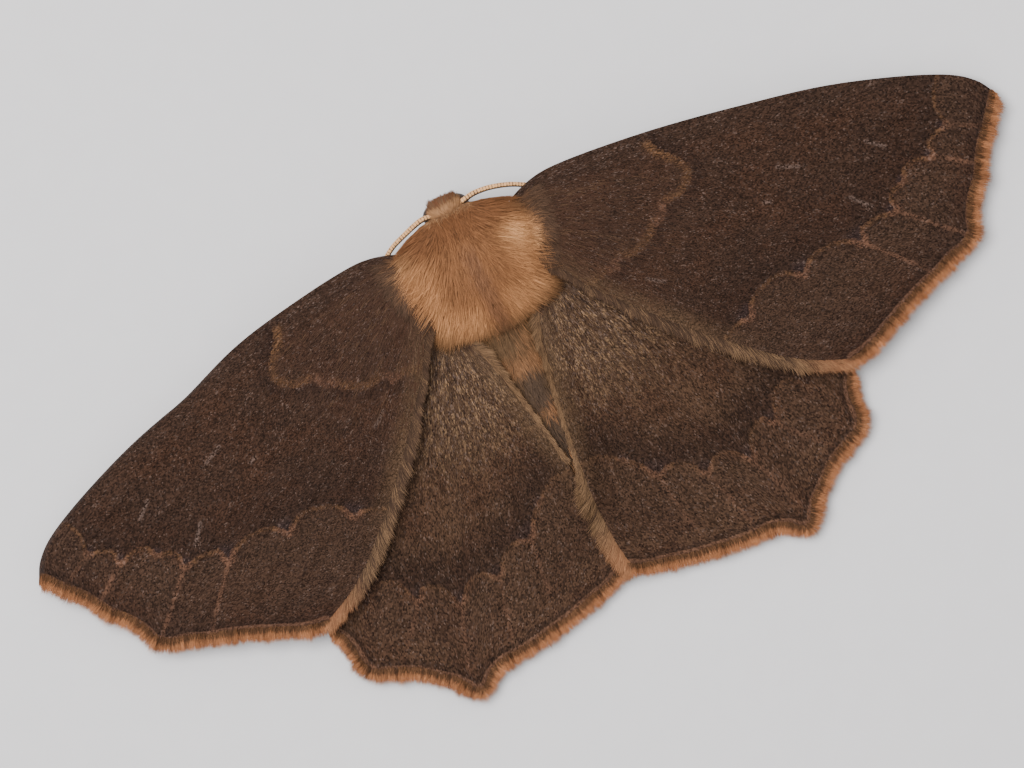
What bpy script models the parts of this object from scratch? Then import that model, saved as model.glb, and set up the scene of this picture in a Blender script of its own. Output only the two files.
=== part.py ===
"""A looper moth at rest with its four wings spread flat, at life size.

The shapes are worked out in millimetres and stored in metres, +Z up.  The floor is z = 0, the
head points to -Y and the moth's left is +X.  Distances "out" run from the midline to either side,
and distances "back" run tailward from the middle of the thorax.
"""

import math
import random

import bmesh
import bpy
import numpy as np
from mathutils import Matrix, Vector

MM = 0.001
GAP = 0.28  # clearance that neighbouring nodes keep
WELD = 1e-5

# The middle of the thorax lies this far forward of the middle of the whole moth
THORAX_FORWARD = 6.35

# Thorax: a rounded block
THORAX_HALF = Vector((2.35, 2.1, 1.5))
THORAX_CENTRE = Vector((0.0, -0.15, 2.85))
THORAX_SQUARENESS = 2.6

# Coat of the thorax: rings of locks whose outermost tips lie on an oval over the wing roots
THORAX_SEED, HEAD_SEED, ABDOMEN_SEED, WING_SEED = 5, 4, 3, 5
COAT_REACH = Vector((3.75, 2.95))
COAT_MIDDLE = -0.2
COAT_SQUARENESS = 2.5
# share of the thorax where the roots lie, how many, turned by, reach of the tips
COAT_RINGS = [(0.86, 22, 0.0, 1.03), (0.74, 14, 0.5, 0.78), (0.52, 9, 0.0, None), (0.26, 5, 0.5, None),
              (0.02, 1, 0.0, None)]
LOCK_LENGTH, LOCK_WIDTH, LOCK_THICKNESS = 1.8, 0.98, 0.34
LOCK_LIFT = 0.3
LOCK_SUNK = 0.32
WING_CLEARANCE = 0.78  # of the middle of a lock over the middle of the forewing

# Coat of the head: rows of locks (back, how many, half width of the row, length) that lie forward
HEAD_ROWS = [(-2.80, 4, 0.44, 0.66), (-3.11, 3, 0.32, 0.70), (-3.43, 3, 0.2, 0.85)]
HEAD_LOCK_WIDTH, HEAD_LOCK_THICKNESS, HEAD_LOCK_LIFT = 0.36, 0.24, 0.1

# Tufts on the abdomen: rows (back, how many, half width of the row, length) that lie tailward
ABDOMEN_ROWS = [(2.5, 3, 0.5, 1.2), (3.9, 2, 0.3, 1.1), (5.3, 2, 0.22, 1.1)]
TIP_TUFT_LOCKS, TIP_TUFT_LENGTH = 4, 1.1

# Head, eyes and palps
HEAD_HALF = Vector((0.78, 0.82, 0.88))
HEAD_CENTRE = Vector((0.0, -3.15, 2.25))
HEAD_SQUARENESS = 2.2
EYE_RADIUS = 0.55
EYE_CENTRE = Vector((0.63, -3.25, 2.05))
EYE_BACK = 0.58
EYE_GAP = 0.15
PALP_ROUTE = [(0.30, -3.62, 1.10), (0.36, -3.92, 1.05), (0.34, -4.12, 1.30), (0.28, -4.2, 1.65)]
PALP_RADII = [0.25, 0.27, 0.25, 0.12]

# Abdomen: telescoping rings, flattened from above
ABDOMEN_START, ABDOMEN_END = 1.2, 10.9
ABDOMEN_RINGS = 7
ABDOMEN_HALF_WIDTH = 1.3
ABDOMEN_FLATNESS = 0.62
ABDOMEN_FRONT_HEIGHT, ABDOMEN_REAR_HEIGHT = 1.5, 1.05
ABDOMEN_TAPER_START = 0.12
ABDOMEN_TAPER_POWER = 2.2
RING_STEP = 0.09
RING_SIDES = 14

# Antennae: bare threads that pass under the front edge of the forewings
ANTENNA_ROUTES = {
    "left": [(1.05, -3.6, 3.12), (1.5, -3.55, 3.05), (2.1, -3.4, 2.8), (2.8, -3.1, 2.45),
             (3.5, -2.6, 2.05), (4.6, -2.05, 1.9), (6.4, -1.55, 1.75), (8.4, -1.3, 1.6), (9.6, -1.3, 1.5)],
    "right": [(1.05, -3.65, 3.12), (1.5, -3.63, 3.05), (2.2, -3.5, 2.8), (3.0, -3.25, 2.4),
              (3.8, -2.8, 2.05), (4.9, -2.2, 1.9), (6.6, -1.6, 1.75), (8.5, -1.3, 1.6), (9.7, -1.25, 1.5)],
}
ANTENNA_SOCKET = Vector((0.62, -0.5, 0.75))  # direction from the middle of the head
ANTENNA_RADIUS, ANTENNA_TIP_RADIUS = 0.25, 0.13
ANTENNA_STEPS = 22

# Legs: coxa, hip, knee, ankle and toe
LEGS = {
    "foreleg_left": [(0.95, -1.35, 1.12), (1.5, -1.6, 0.95), (3.2, -2.0, 1.20), (5.6, -2.3, 0.62), (9.15, -2.62)],
    "foreleg_right": [(0.95, -1.35, 1.12), (1.5, -1.6, 0.95), (3.2, -1.9, 1.20), (5.4, -1.9, 0.62), (8.60, -1.75)],
    "midleg_left": [(1.05, -0.35, 1.02), (1.7, -0.2, 0.9), (3.6, 0.7, 1.05), (6.3, 2.5, 0.62), (9.30, 4.10)],
    "midleg_right": [(1.05, -0.35, 1.02), (1.7, -0.2, 0.9), (3.6, 0.8, 1.05), (6.1, 2.7, 0.62), (9.00, 4.50)],
    "hindleg_left": [(1.15, 0.55, 1.10), (1.9, 1.05, 0.95), (2.8, 3.1, 0.93), (4.5, 6.0, 0.60), (6.20, 9.10)],
    "hindleg_right": [(1.15, 0.55, 1.10), (1.9, 1.05, 0.95), (2.8, 3.1, 0.93), (4.6, 5.9, 0.60), (6.40, 8.90)],
}
LEG_RADII = [0.34, 0.33, 0.28, 0.26, 0.25, 0.25]  # coxa, hip, knee, ankle, heel and toe
TARSUS_HEIGHT = 0.2  # of the middle of the tarsus, whose sole is cut flat at the floor
TARSUS_REST = 1.4
SPUR_LENGTH, SPUR_RADIUS = 0.9, 0.2
SPUR_PLACES = {"foreleg": (), "midleg": (0.97,), "hindleg": (0.6, 0.97)}  # shares of the tibia

# Wings: the membrane's outline as (out, back), from the root to the margin or front to back
WING_THICKNESS = 0.5
VEIN_HEIGHT, VEIN_HALF_WIDTH = 0.13, 0.2
FRINGE_DEPTH, FRINGE_PITCH, FRINGE_LOCK_WIDTH = 0.58, 0.76, 1.2
INNER_FRINGE_DEPTH, INNER_FRINGE_PITCH = 0.75, 0.85
FRINGE_THICKNESS, FRINGE_SUNK = 0.32, 0.3
INNER_FRINGE_START = 0.24  # share of the inner edge where its fringe begins
MIDLINE_CLEARANCE = 0.18  # of the inner fringes where both are seen
OVERLAP_START = 8.3  # distance back where the right inner fringe begins to cross the midline
FOREWING = {
    "root": (-1.75, -0.2),
    "root_height": 2.9,
    "front": [(2.5, -2.3), (3.1, -2.62), (4.0, -2.88), (5.0, -2.95), (7.0, -2.78), (10.0, -2.35),
              (13.5, -1.68), (17.0, -0.88), (20.0, 0.12), (22.3, 1.12), (23.4, 1.95), (23.95, 2.85)],
    "margin": [(23.2, 4.05), (22.55, 4.9), (22.0, 5.9), (21.2, 6.8), (20.6, 7.4),
               (20.25, 8.0), (19.2, 8.3), (18.1, 8.7), (17.2, 8.95), (16.3, 9.3), (15.4, 9.6),
               (14.6, 10.0), (13.7, 10.3), (12.9, 10.3)],
    "inner": [(3.3, 0.9), (3.9, 1.8), (4.5, 2.7), (5.5, 3.9), (6.5, 5.1), (7.5, 6.2),
              (8.5, 7.2), (9.5, 8.15), (10.5, 9.0), (11.6, 9.7)],
    # where each main vein ends, as a share of the margin, and how far from the root it starts
    "veins": [(0.035, 0.3), (0.13, 0.0), (0.27, 0.48), (0.44, 0.5), (0.57, 0.48), (0.69, 0.0),
              (0.80, 0.3), (0.93, 0.02)],
    "rows": 8,
}
HINDWING = {
    "root": (0.3, 1.15),
    "root_height": 2.0,
    "front": [(4.0, 1.1), (7.0, 3.3), (10.0, 6.3), (12.1, 9.2), (12.85, 10.95)],
    "margin": [(12.5, 11.6), (12.3, 12.3), (12.25, 12.9), (11.9, 13.3), (11.0, 13.6), (10.0, 14.1),
               (9.2, 14.75), (8.65, 15.15), (8.1, 15.8), (7.4, 15.45), (6.6, 15.22), (5.9, 15.2),
               (5.1, 15.15), (4.1, 15.0), (3.05, 14.85), (2.0, 14.5), (1.0, 14.25), (0.5, 13.95)],
    "inner": [(1.95, 1.9), (1.6, 2.8), (1.3, 3.8), (0.95, 5.0), (0.7, 6.0), (0.52, 7.0), (0.37, 8.0),
              (0.25, 9.0), (0.15, 10.0), (0.1, 11.0), (0.1, 12.4), (0.25, 13.5)],
    "veins": [(0.13, 0.03), (0.25, 0.4), (0.425, 0.42), (0.60, 0.4), (0.735, 0.02), (0.88, 0.02)],
    "rows": 7,
}
# Each wing's reach against the outlines above
REACH = {"forewing_left": 0.978, "forewing_right": 1.0, "hindwing_left": 1.0, "hindwing_right": 1.0}

# How high the wings lie
MARGIN_HEIGHT = 1.5
ROOT_RISE = 1.65
SPREAD = Vector((25.0, 15.0))  # out and back from the thorax to where the wings lie lowest
TIP_DROOP = 0.5
HINDWING_DROP = 0.82
OVERLAP_LIFT = 0.5  # of the right hindwing's inner edge, whose fringe lies on the left wing
OVERLAP_FRINGE_LIFT = 0.26  # by which that fringe lies over the middle of its own wing
LEFT_INNER_TRIM = 0.35
COSTA_ROLL = {"left": 0.9, "right": 0.2}  # radians that the front edge is rolled under
COSTA_ROLL_WIDTH = 1.2

SIDES = {"left": 1.0, "right": -1.0}


def clear_scene():
    for obj in list(bpy.data.objects):
        bpy.data.objects.remove(obj)


def make_material(name, colour, roughness):
    material = bpy.data.materials.new(name)
    material.use_nodes = True
    shader = material.node_tree.nodes["Principled BSDF"]
    shader.inputs["Base Color"].default_value = (*colour, 1.0)
    shader.inputs["Roughness"].default_value = roughness
    shader.inputs["Metallic"].default_value = 0.0
    return material


def make_piece(name, bm):
    """A loose mesh object, ready to be fused or cut."""
    mesh = bpy.data.meshes.new(name)
    bm.to_mesh(mesh)
    bm.free()
    obj = bpy.data.objects.new(name, mesh)
    bpy.context.scene.collection.objects.link(obj)
    return obj


def applied(obj):
    """The object's evaluated mesh, welded, in place of the object."""
    bpy.context.view_layer.update()
    graph = bpy.context.evaluated_depsgraph_get()
    mesh = bpy.data.meshes.new_from_object(obj.evaluated_get(graph))
    bm = bmesh.new()
    bm.from_mesh(mesh)
    bmesh.ops.remove_doubles(bm, verts=bm.verts, dist=WELD)
    bmesh.ops.triangulate(bm, faces=bm.faces)
    name = obj.name
    bpy.data.objects.remove(obj)
    bpy.data.meshes.remove(mesh)
    return make_piece(name, bm)


def shells_of(bm):
    """The connected surfaces of a mesh, as sets of its vertices."""
    left = set(bm.verts)
    shells = []
    while left:
        start = left.pop()
        shell, front = {start}, [start]
        while front:
            for edge in front.pop().link_edges:
                for other in edge.verts:
                    if other in left:
                        left.remove(other)
                        shell.add(other)
                        front.append(other)
        shells.append(shell)
    return shells


def enclosed_volume(shell):
    faces = {face for vert in shell for face in vert.link_faces}
    return abs(sum(face.calc_area() * face.normal.dot(face.verts[0].co) for face in faces))


def keep_largest(obj):
    """Drops every surface but the one that encloses the most."""
    bm = bmesh.new()
    bm.from_mesh(obj.data)
    shells = sorted(shells_of(bm), key=enclosed_volume)
    loose = [vert for shell in shells[:-1] for vert in shell]
    bmesh.ops.delete(bm, geom=loose, context="VERTS")
    bm.to_mesh(obj.data)
    bm.free()
    return obj


def fuse(pieces, cutters=()):
    """Joins closed pieces into one, takes the cutters away from it, and keeps its largest surface."""
    base, others = pieces[0], pieces[1:]
    holder = bpy.data.collections.new("fusing")
    for other in others:
        holder.objects.link(other)
    if others:
        union = base.modifiers.new("union", "BOOLEAN")
        union.operation, union.solver = "UNION", "MANIFOLD"
        union.operand_type, union.collection = "COLLECTION", holder
    for cutter in cutters:
        cut = base.modifiers.new("cut", "BOOLEAN")
        cut.operation, cut.solver, cut.object = "DIFFERENCE", "MANIFOLD", cutter
    base = applied(base)
    for other in [*others, *cutters]:
        bpy.data.objects.remove(other)
    bpy.data.collections.remove(holder)
    return keep_largest(base)


def add_node(name, piece, material, collection, parent):
    """Stores a finished piece as a named node, in metres, under the moth's own empty."""
    piece.name = name
    piece.data.name = name
    piece.data.transform(Matrix.Scale(MM, 4))
    piece.data.materials.clear()
    piece.data.materials.append(material)
    piece.data.shade_smooth()
    piece.data.set_sharp_from_angle(angle=math.radians(40))
    bpy.context.scene.collection.objects.unlink(piece)
    collection.objects.link(piece)
    piece.parent = parent
    return piece


def on_side(point, side):
    return Vector((SIDES[side] * point[0], point[1], point[2]))


def smoothstep(low, high, value):
    share = min(max((value - low) / (high - low), 0.0), 1.0)
    return share * share * (3.0 - 2.0 * share)


def spline(points, steps=8):
    """A Catmull-Rom curve through the points, as an array."""
    p = np.array([tuple(q) for q in points], float)
    p = np.vstack([2 * p[0] - p[1], p, 2 * p[-1] - p[-2]])
    curve = []
    for a, b, c, d in zip(p[:-3], p[1:-2], p[2:-1], p[3:]):
        for t in np.arange(steps) / steps:
            curve.append(0.5 * (2 * b + (c - a) * t + (2 * a - 5 * b + 4 * c - d) * t * t
                                + (3 * b - a - 3 * c + d) * t ** 3))
    curve.append(p[-2])
    return np.array(curve)


def shares_of(curve):
    lengths = np.concatenate([[0.0], np.cumsum(np.linalg.norm(np.diff(curve, axis=0), axis=1))])
    return lengths / lengths[-1]


def along(curve, share):
    """The point at a share of a curve's length."""
    shares = shares_of(curve)
    return np.array([np.interp(share, shares, curve[:, axis]) for axis in range(curve.shape[1])])


def superellipsoid(name, centre, half, squareness, segments=20, rings=12, grow=0.0):
    bm = bmesh.new()
    bmesh.ops.create_uvsphere(bm, u_segments=segments, v_segments=rings, radius=1.0)
    for vert in bm.verts:
        reach = sum(abs(c) ** squareness for c in vert.co) ** (-1.0 / squareness)
        for axis in range(3):
            vert.co[axis] = centre[axis] + vert.co[axis] * reach * (half[axis] + grow)
    return make_piece(name, bm)


def tube(name, points, radii, resolution=1, steps=0):
    """A closed tube of changing radius, through the points or smoothly along them."""
    if steps:
        curve = spline(points)
        shares = np.linspace(0.0, 1.0, steps)
        radii = np.interp(shares, np.linspace(0.0, 1.0, len(radii)), radii)
        points = [along(curve, share) for share in shares]
    data = bpy.data.curves.new(name, "CURVE")
    data.dimensions = "3D"
    data.bevel_depth = 1.0
    data.bevel_resolution = resolution
    data.use_fill_caps = True
    line = data.splines.new("POLY")
    line.points.add(len(points) - 1)
    for point, place, radius in zip(line.points, points, radii):
        point.co = (*place, 1.0)
        point.radius = radius
    obj = bpy.data.objects.new(name, data)
    bpy.context.scene.collection.objects.link(obj)
    return applied(obj)


def cone(name, base, tip, radius):
    axis = Vector(tip) - Vector(base)
    bm = bmesh.new()
    bmesh.ops.create_cone(bm, cap_ends=True, segments=6, radius1=radius, radius2=radius * 0.2,
                          depth=axis.length)
    turn = axis.to_track_quat("Z", "Y").to_matrix().to_4x4()
    bmesh.ops.transform(bm, matrix=Matrix.Translation(Vector(base) + axis / 2) @ turn, verts=bm.verts)
    return make_piece(name, bm)


def box(name, low, high):
    bm = bmesh.new()
    bmesh.ops.create_cube(bm, size=1.0)
    for vert in bm.verts:
        for axis in range(3):
            vert.co[axis] = low[axis] if vert.co[axis] < 0 else high[axis]
    return make_piece(name, bm)


def thorax_side(back, high):
    """Distance out to the thorax's side at this place, with the clearance added."""
    e = THORAX_SQUARENESS
    lengthwise = abs((back - THORAX_CENTRE.y) / THORAX_HALF.y) ** e
    upright = abs((high - THORAX_CENTRE.z) / THORAX_HALF.z) ** e
    return THORAX_HALF.x * max(1.0 - lengthwise - upright, 0.0) ** (1.0 / e) + GAP


def abdomen_shape(back):
    """Height of the abdomen's axis and its half width, at a distance back."""
    share = min(max((back - ABDOMEN_START) / (ABDOMEN_END - ABDOMEN_START), 0.0), 1.0)
    height = ABDOMEN_FRONT_HEIGHT + (ABDOMEN_REAR_HEIGHT - ABDOMEN_FRONT_HEIGHT) * share
    narrowing = max(share - ABDOMEN_TAPER_START, 0.0) / (1.0 - ABDOMEN_TAPER_START)
    return height, ABDOMEN_HALF_WIDTH * math.sqrt(1.0 - narrowing ** ABDOMEN_TAPER_POWER)


def above_abdomen(out, back):
    """Height of a roof over the abdomen that slopes down beside it and behind it."""
    height, half = abdomen_shape(back)
    half = max(half, 0.3)
    bend = 0.8  # share of the half width where the roof leaves the round top and runs straight
    inner = min(out / half, bend)
    slope = ABDOMEN_FLATNESS * bend / math.sqrt(1.0 - bend * bend)
    roof = height + ABDOMEN_FLATNESS * half * math.sqrt(1.0 - inner * inner)
    roof -= slope * max(out - bend * half, 0.0)
    return roof - max(back - ABDOMEN_END, 0.0)


def forewing_height(out, back):
    """Height of the middle of a forewing: lowest at the margin, rising to the root."""
    reach = math.hypot(out / SPREAD.x, (back + 1.0) / SPREAD.y)
    rise = ROOT_RISE * max(1.0 - reach, 0.0) ** 1.1
    return MARGIN_HEIGHT + rise - TIP_DROOP * smoothstep(14.0, 24.0, out)


def hindwing_height(out, back, side):
    """Height of the middle of a hindwing, which lies under the forewing and over the abdomen."""
    low = forewing_height(max(out, 0.0), back) - HINDWING_DROP
    over = above_abdomen(abs(out), back) + GAP + 0.65 * WING_THICKNESS
    softness = 0.2
    height = softness * math.log(math.exp(low / softness) + math.exp(over / softness))
    if side == "right":
        height += OVERLAP_LIFT * smoothstep(1.7, 0.3, out) * smoothstep(8.0, 9.6, back)
    return height


def wing_plan(wing, trim):
    """A function that maps shares (root to margin, front to inner edge) to a place (out, back)."""
    root_backs = np.linspace(*wing["root"], 6)
    root = np.array([(thorax_side(back, wing["root_height"]), back) for back in root_backs])
    front = spline([root[0], *wing["front"]])
    margin = spline([wing["front"][-1], *wing["margin"]])
    inner = spline([root[-1], *wing["inner"], wing["margin"][-1]])
    fade = np.array([smoothstep(0.1, 0.35, share) * smoothstep(1.0, 0.97, share) for share in shares_of(inner)])
    inner[:, 0] += trim * fade

    def place(s, t):
        across = (1 - t) * along(front, s) + t * along(inner, s)
        lengthwise = (1 - s) * along(root, t) + s * along(margin, t)
        corners = ((1 - s) * (1 - t) * front[0] + s * (1 - t) * front[-1]
                   + (1 - s) * t * inner[0] + s * t * inner[-1])
        return across + lengthwise - corners
    return place


def wing_surface(kind, side):
    """A function that maps shares to a point on the middle of a wing's membrane."""
    wing = FOREWING if kind == "forewing" else HINDWING
    plan = wing_plan(wing, LEFT_INNER_TRIM if (kind, side) == ("hindwing", "left") else 0.0)
    reach = REACH[f"{kind}_{side}"]

    def point(s, t):
        out, back = plan(s, t)
        if kind == "hindwing":
            return on_side((out * reach, back, hindwing_height(out, back, side)), side)
        front_out, front_back = plan(s, 0.0)
        inside = max(COSTA_ROLL_WIDTH - math.hypot(out - front_out, back - front_back), 0.0)
        angle = COSTA_ROLL[side] * smoothstep(9.0, 15.0, out) * inside / COSTA_ROLL_WIDTH
        height = forewing_height(out, back) - inside * math.sin(angle)
        return on_side((out * reach, back + inside * (1.0 - math.cos(angle)), height), side)
    return point


def surface_normal(point, s, t, step=0.004):
    """The unit vector that points up and square to a wing's surface."""
    along_s = point(min(s + step, 1.0), t) - point(max(s - step, 0.0), t)
    along_t = point(s, min(t + step, 1.0)) - point(s, max(t - step, 0.0))
    normal = along_s.cross(along_t).normalized()
    return normal if normal.z > 0 else -normal


def wing_lines(veins, margin_length):
    """Shares across a wing for its lines of points, each with the start of its vein or None."""
    foot = VEIN_HALF_WIDTH / margin_length
    lines = {0.0: None, 1.0: None}
    ends = [0.0, *[share for share, start in veins], 1.0]
    for low, high in zip(ends[:-1], ends[1:]):
        if high - low > 12.0 * foot:
            lines[(low + high) / 2] = None
    for share, start in veins:
        lines[share - foot] = None
        lines[share] = start
        lines[share + foot] = None
    return sorted(lines.items())


def wing_membrane(name, kind, side):
    """A closed thin sheet whose two faces have the same triangles, with veins raised on the upper."""
    wing = FOREWING if kind == "forewing" else HINDWING
    point = wing_surface(kind, side)
    lines = wing_lines(wing["veins"], edge_length(lambda t: point(1.0, t)))
    rows = np.linspace(0.0, 1.0, wing["rows"])
    bm = bmesh.new()
    upper, lower = [], []
    for s in rows:
        for t, start in lines:
            middle = point(s, t)
            normal = surface_normal(point, s, t)
            ridge = 0.0 if start is None else VEIN_HEIGHT * smoothstep(start - 0.1, start + 0.02, s)
            upper.append(bm.verts.new(middle + normal * (WING_THICKNESS / 2 + ridge)))
            lower.append(bm.verts.new(middle - normal * (WING_THICKNESS / 2)))
    count = len(lines)
    for row in range(len(rows) - 1):
        for column in range(count - 1):
            a = row * count + column
            corners = (a, a + 1, a + count + 1, a + count)
            triangles = [(corners[0], corners[1], corners[2]), (corners[0], corners[2], corners[3])]
            for triangle in triangles:
                bm.faces.new([upper[i] for i in triangle])
                bm.faces.new([lower[i] for i in reversed(triangle)])
    last = (len(rows) - 1) * count
    rim = [*range(count), *[row * count + count - 1 for row in range(1, len(rows))],
           *range(last + count - 2, last - 1, -1), *[row * count for row in range(len(rows) - 2, 0, -1)]]
    for a, b in zip(rim, [*rim[1:], rim[0]]):
        bm.faces.new([upper[a], lower[a], lower[b]])
        bm.faces.new([upper[a], lower[b], upper[b]])
    bmesh.ops.recalc_face_normals(bm, faces=bm.faces)
    return make_piece(name, bm)


def edge_length(edge):
    points = np.array([edge(share) for share in np.linspace(0.0, 1.0, 60)])
    return float(np.sum(np.linalg.norm(np.diff(points, axis=0), axis=1)))


def lock(name, points, widths, thickness, up):
    """A flat, tapered lock that is a lens across and runs through the points to a fine tip."""
    points = [Vector(point) for point in points]
    bm = bmesh.new()
    loops = []
    for i, width in enumerate(widths):
        ahead = (points[i + 1] - points[max(i - 1, 0)]).normalized()
        sideways = ahead.cross(up).normalized()
        upright = sideways.cross(ahead).normalized()
        thick = thickness * (1.0 if i == 0 else 0.85)
        corners = (sideways * width, upright * thick, -sideways * width, -upright * thick)
        loops.append([bm.verts.new(points[i] + corner / 2) for corner in corners])
    for near, far in zip(loops[:-1], loops[1:]):
        for a, b, c, d in zip(near, [*near[1:], near[0]], [*far[1:], far[0]], far):
            bm.faces.new((a, b, c, d))
    tip = bm.verts.new(points[-1])
    for a, b in zip(loops[-1], [*loops[-1][1:], loops[-1][0]]):
        bm.faces.new((a, b, tip))
    bm.faces.new(loops[0])
    bmesh.ops.recalc_face_normals(bm, faces=bm.faces)
    return make_piece(name, bm)


def fringe_lock(kind, side, edge, direction, depth, width, lift=0.0):
    """One lock that grows from a wing's edge and lies in the wing's own curve, or rises over it."""
    def height(place):
        out = place.x * SIDES[side]
        if kind == "forewing":
            return forewing_height(out, place.y)
        return hindwing_height(out, place.y, side)

    offset = edge.z - height(edge)
    points = []
    for distance in (-FRINGE_SUNK, 0.3 * depth, depth):
        place = edge + direction * distance
        place.z = height(place) + offset + lift * smoothstep(-FRINGE_SUNK, 0.3 * depth, distance)
        points.append(place)
    return lock("fringe", points, [width, 0.95 * width], FRINGE_THICKNESS, Vector((0.0, 0.0, 1.0)))


def inner_fringe_depth(kind, side, edge):
    """How far an inner edge's fringe reaches, so that left and right meet only where they overlap."""
    if kind == "forewing":
        return INNER_FRINGE_DEPTH
    own_half = min(INNER_FRINGE_DEPTH, abs(edge.x) - MIDLINE_CLEARANCE)
    if side == "left":
        return own_half if edge.y < OVERLAP_START else 0.0
    across = smoothstep(OVERLAP_START, OVERLAP_START + 1.0, edge.y)
    return own_half + (INNER_FRINGE_DEPTH - own_half) * across


def make_wing(name):
    """The membrane with a fringe of locks along its outer and inner edges."""
    kind, side = name.split("_")
    draw = random.Random(f"{WING_SEED} {name}")
    point = wing_surface(kind, side)
    pieces = [wing_membrane(name, kind, side)]
    count = round(edge_length(lambda t: point(1.0, t)) / FRINGE_PITCH)
    for i in range(count):
        t = (i + 0.5) / count
        edge = point(1.0, t)
        tangent = point(1.0, min(t + 0.02, 1.0)) - point(1.0, max(t - 0.02, 0.0))
        direction = Vector((tangent.y, -tangent.x, 0.0)).normalized()
        if direction.dot(edge - point(0.9, t)) < 0:
            direction = -direction
        edge.z += draw.uniform(-0.04, 0.04)
        depth = FRINGE_DEPTH * draw.uniform(0.92, 1.15)
        pieces.append(fringe_lock(kind, side, edge, direction, depth, FRINGE_LOCK_WIDTH))
    length = edge_length(lambda s: point(s, 1.0)) * (1.0 - INNER_FRINGE_START)
    count = round(length / INNER_FRINGE_PITCH)
    for i in range(count):
        s = INNER_FRINGE_START + (1.0 - INNER_FRINGE_START) * (i + 0.5) / count
        edge = point(s, 1.0)
        depth = inner_fringe_depth(kind, side, edge)
        if depth < 0.25:
            continue
        tangent = (point(min(s + 0.02, 1.0), 1.0) - point(s - 0.02, 1.0)).normalized()
        direction = Vector((tangent.y, -tangent.x, 0.0)).normalized()
        if direction.dot(edge - point(s, 0.9)) < 0:
            direction = -direction
        slant = Vector((tangent.x, tangent.y, 0.0)) * 0.9
        edge.z += draw.uniform(-0.04, 0.04)
        depth *= draw.uniform(0.9, 1.05)
        lift = OVERLAP_FRINGE_LIFT if name == "hindwing_right" and edge.y > OVERLAP_START else 0.0
        pieces.append(fringe_lock(kind, side, edge, direction + slant, depth, FRINGE_LOCK_WIDTH, lift))
    return fuse(pieces)


def coat_lock(name, root, tip, width, thickness, lift, surface, roof):
    """A lock from one place to another over a body, following its surface but above the roof."""
    shares = (0.0, 0.3, 0.68, 1.0)
    points = []
    for share in shares:
        place = root.lerp(tip, share)
        height = surface(place.x, place.y) + lift * min(share * 4.0, 1.0)
        if share == 0.0:
            height -= LOCK_SUNK
        else:
            step = (place - points[-1].xy).length
            height = max(height, points[-1].z - 0.55 * step, roof(place.x, place.y))
        points.append(Vector((place.x, place.y, height)))
    return lock(name, points, [0.75 * width, width, 0.7 * width], thickness, Vector((0.0, 0.0, 1.0)))


def superellipsoid_top(centre, half, squareness, across, back):
    """Height of a rounded block's upper surface, or of its middle beside it."""
    used = abs((across - centre.x) / half.x) ** squareness + abs((back - centre.y) / half.y) ** squareness
    return centre.z + half.z * max(1.0 - used, 0.0) ** (1.0 / squareness)


def thorax_top(across, back):
    return superellipsoid_top(THORAX_CENTRE, THORAX_HALF, THORAX_SQUARENESS, across, back)


def over_wings(across, back):
    return forewing_height(abs(across), back) + WING_CLEARANCE


def oval(reach, squareness, angle):
    """A point at this angle on a rounded oval about the origin; angle 0 is the moth's left."""
    flat = Vector((math.cos(angle), math.sin(angle)))
    scale = (abs(flat.x) ** squareness + abs(flat.y) ** squareness) ** (-1.0 / squareness)
    return Vector((flat.x * scale * reach[0], flat.y * scale * reach[1]))


def thorax_locks():
    draw = random.Random(THORAX_SEED)
    locks = []
    for share, count, turned, reach in COAT_RINGS:
        for i in range(count):
            angle = 2.0 * math.pi * (i + turned + draw.uniform(-0.15, 0.15)) / count
            root = oval(THORAX_HALF.xy * share, THORAX_SQUARENESS, angle) + THORAX_CENTRE.xy
            if reach is None:
                splay = Vector((root.x * 0.45 + draw.uniform(-0.15, 0.15), 1.0)).normalized()
                tip = root + splay * LOCK_LENGTH * draw.uniform(0.85, 1.1)
            else:
                tip = oval(COAT_REACH * reach * draw.uniform(0.95, 1.04), COAT_SQUARENESS, angle)
                tip.y += COAT_MIDDLE
            width = LOCK_WIDTH * draw.uniform(0.9, 1.1)
            lift = LOCK_LIFT * draw.uniform(0.75, 1.2)
            locks.append(coat_lock("coat", root, tip, width, LOCK_THICKNESS, lift, thorax_top, over_wings))
    return locks


def grid_locks(rows, forward, width, thickness, lift, surface, roof, draw):
    """Rows of locks on the top of a body, that lie forward (-1) or tailward (+1)."""
    locks = []
    for back, count, half_width, length in rows:
        for i in range(count):
            across = half_width * (2.0 * (i + 0.5) / count - 1.0) * count / max(count - 1, 1)
            root = Vector((across, back + draw.uniform(-0.05, 0.05)))
            tip = root + Vector((across * 0.25, forward * length * draw.uniform(0.9, 1.1)))
            locks.append(coat_lock("coat", root, tip, width, thickness, lift, surface, roof))
    return locks


def grown_thorax():
    return superellipsoid("thorax_cutter", THORAX_CENTRE, THORAX_HALF, THORAX_SQUARENESS, grow=GAP)


def make_thorax():
    body = superellipsoid("thorax", THORAX_CENTRE, THORAX_HALF, THORAX_SQUARENESS)
    return fuse([body, *thorax_locks()])


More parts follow.
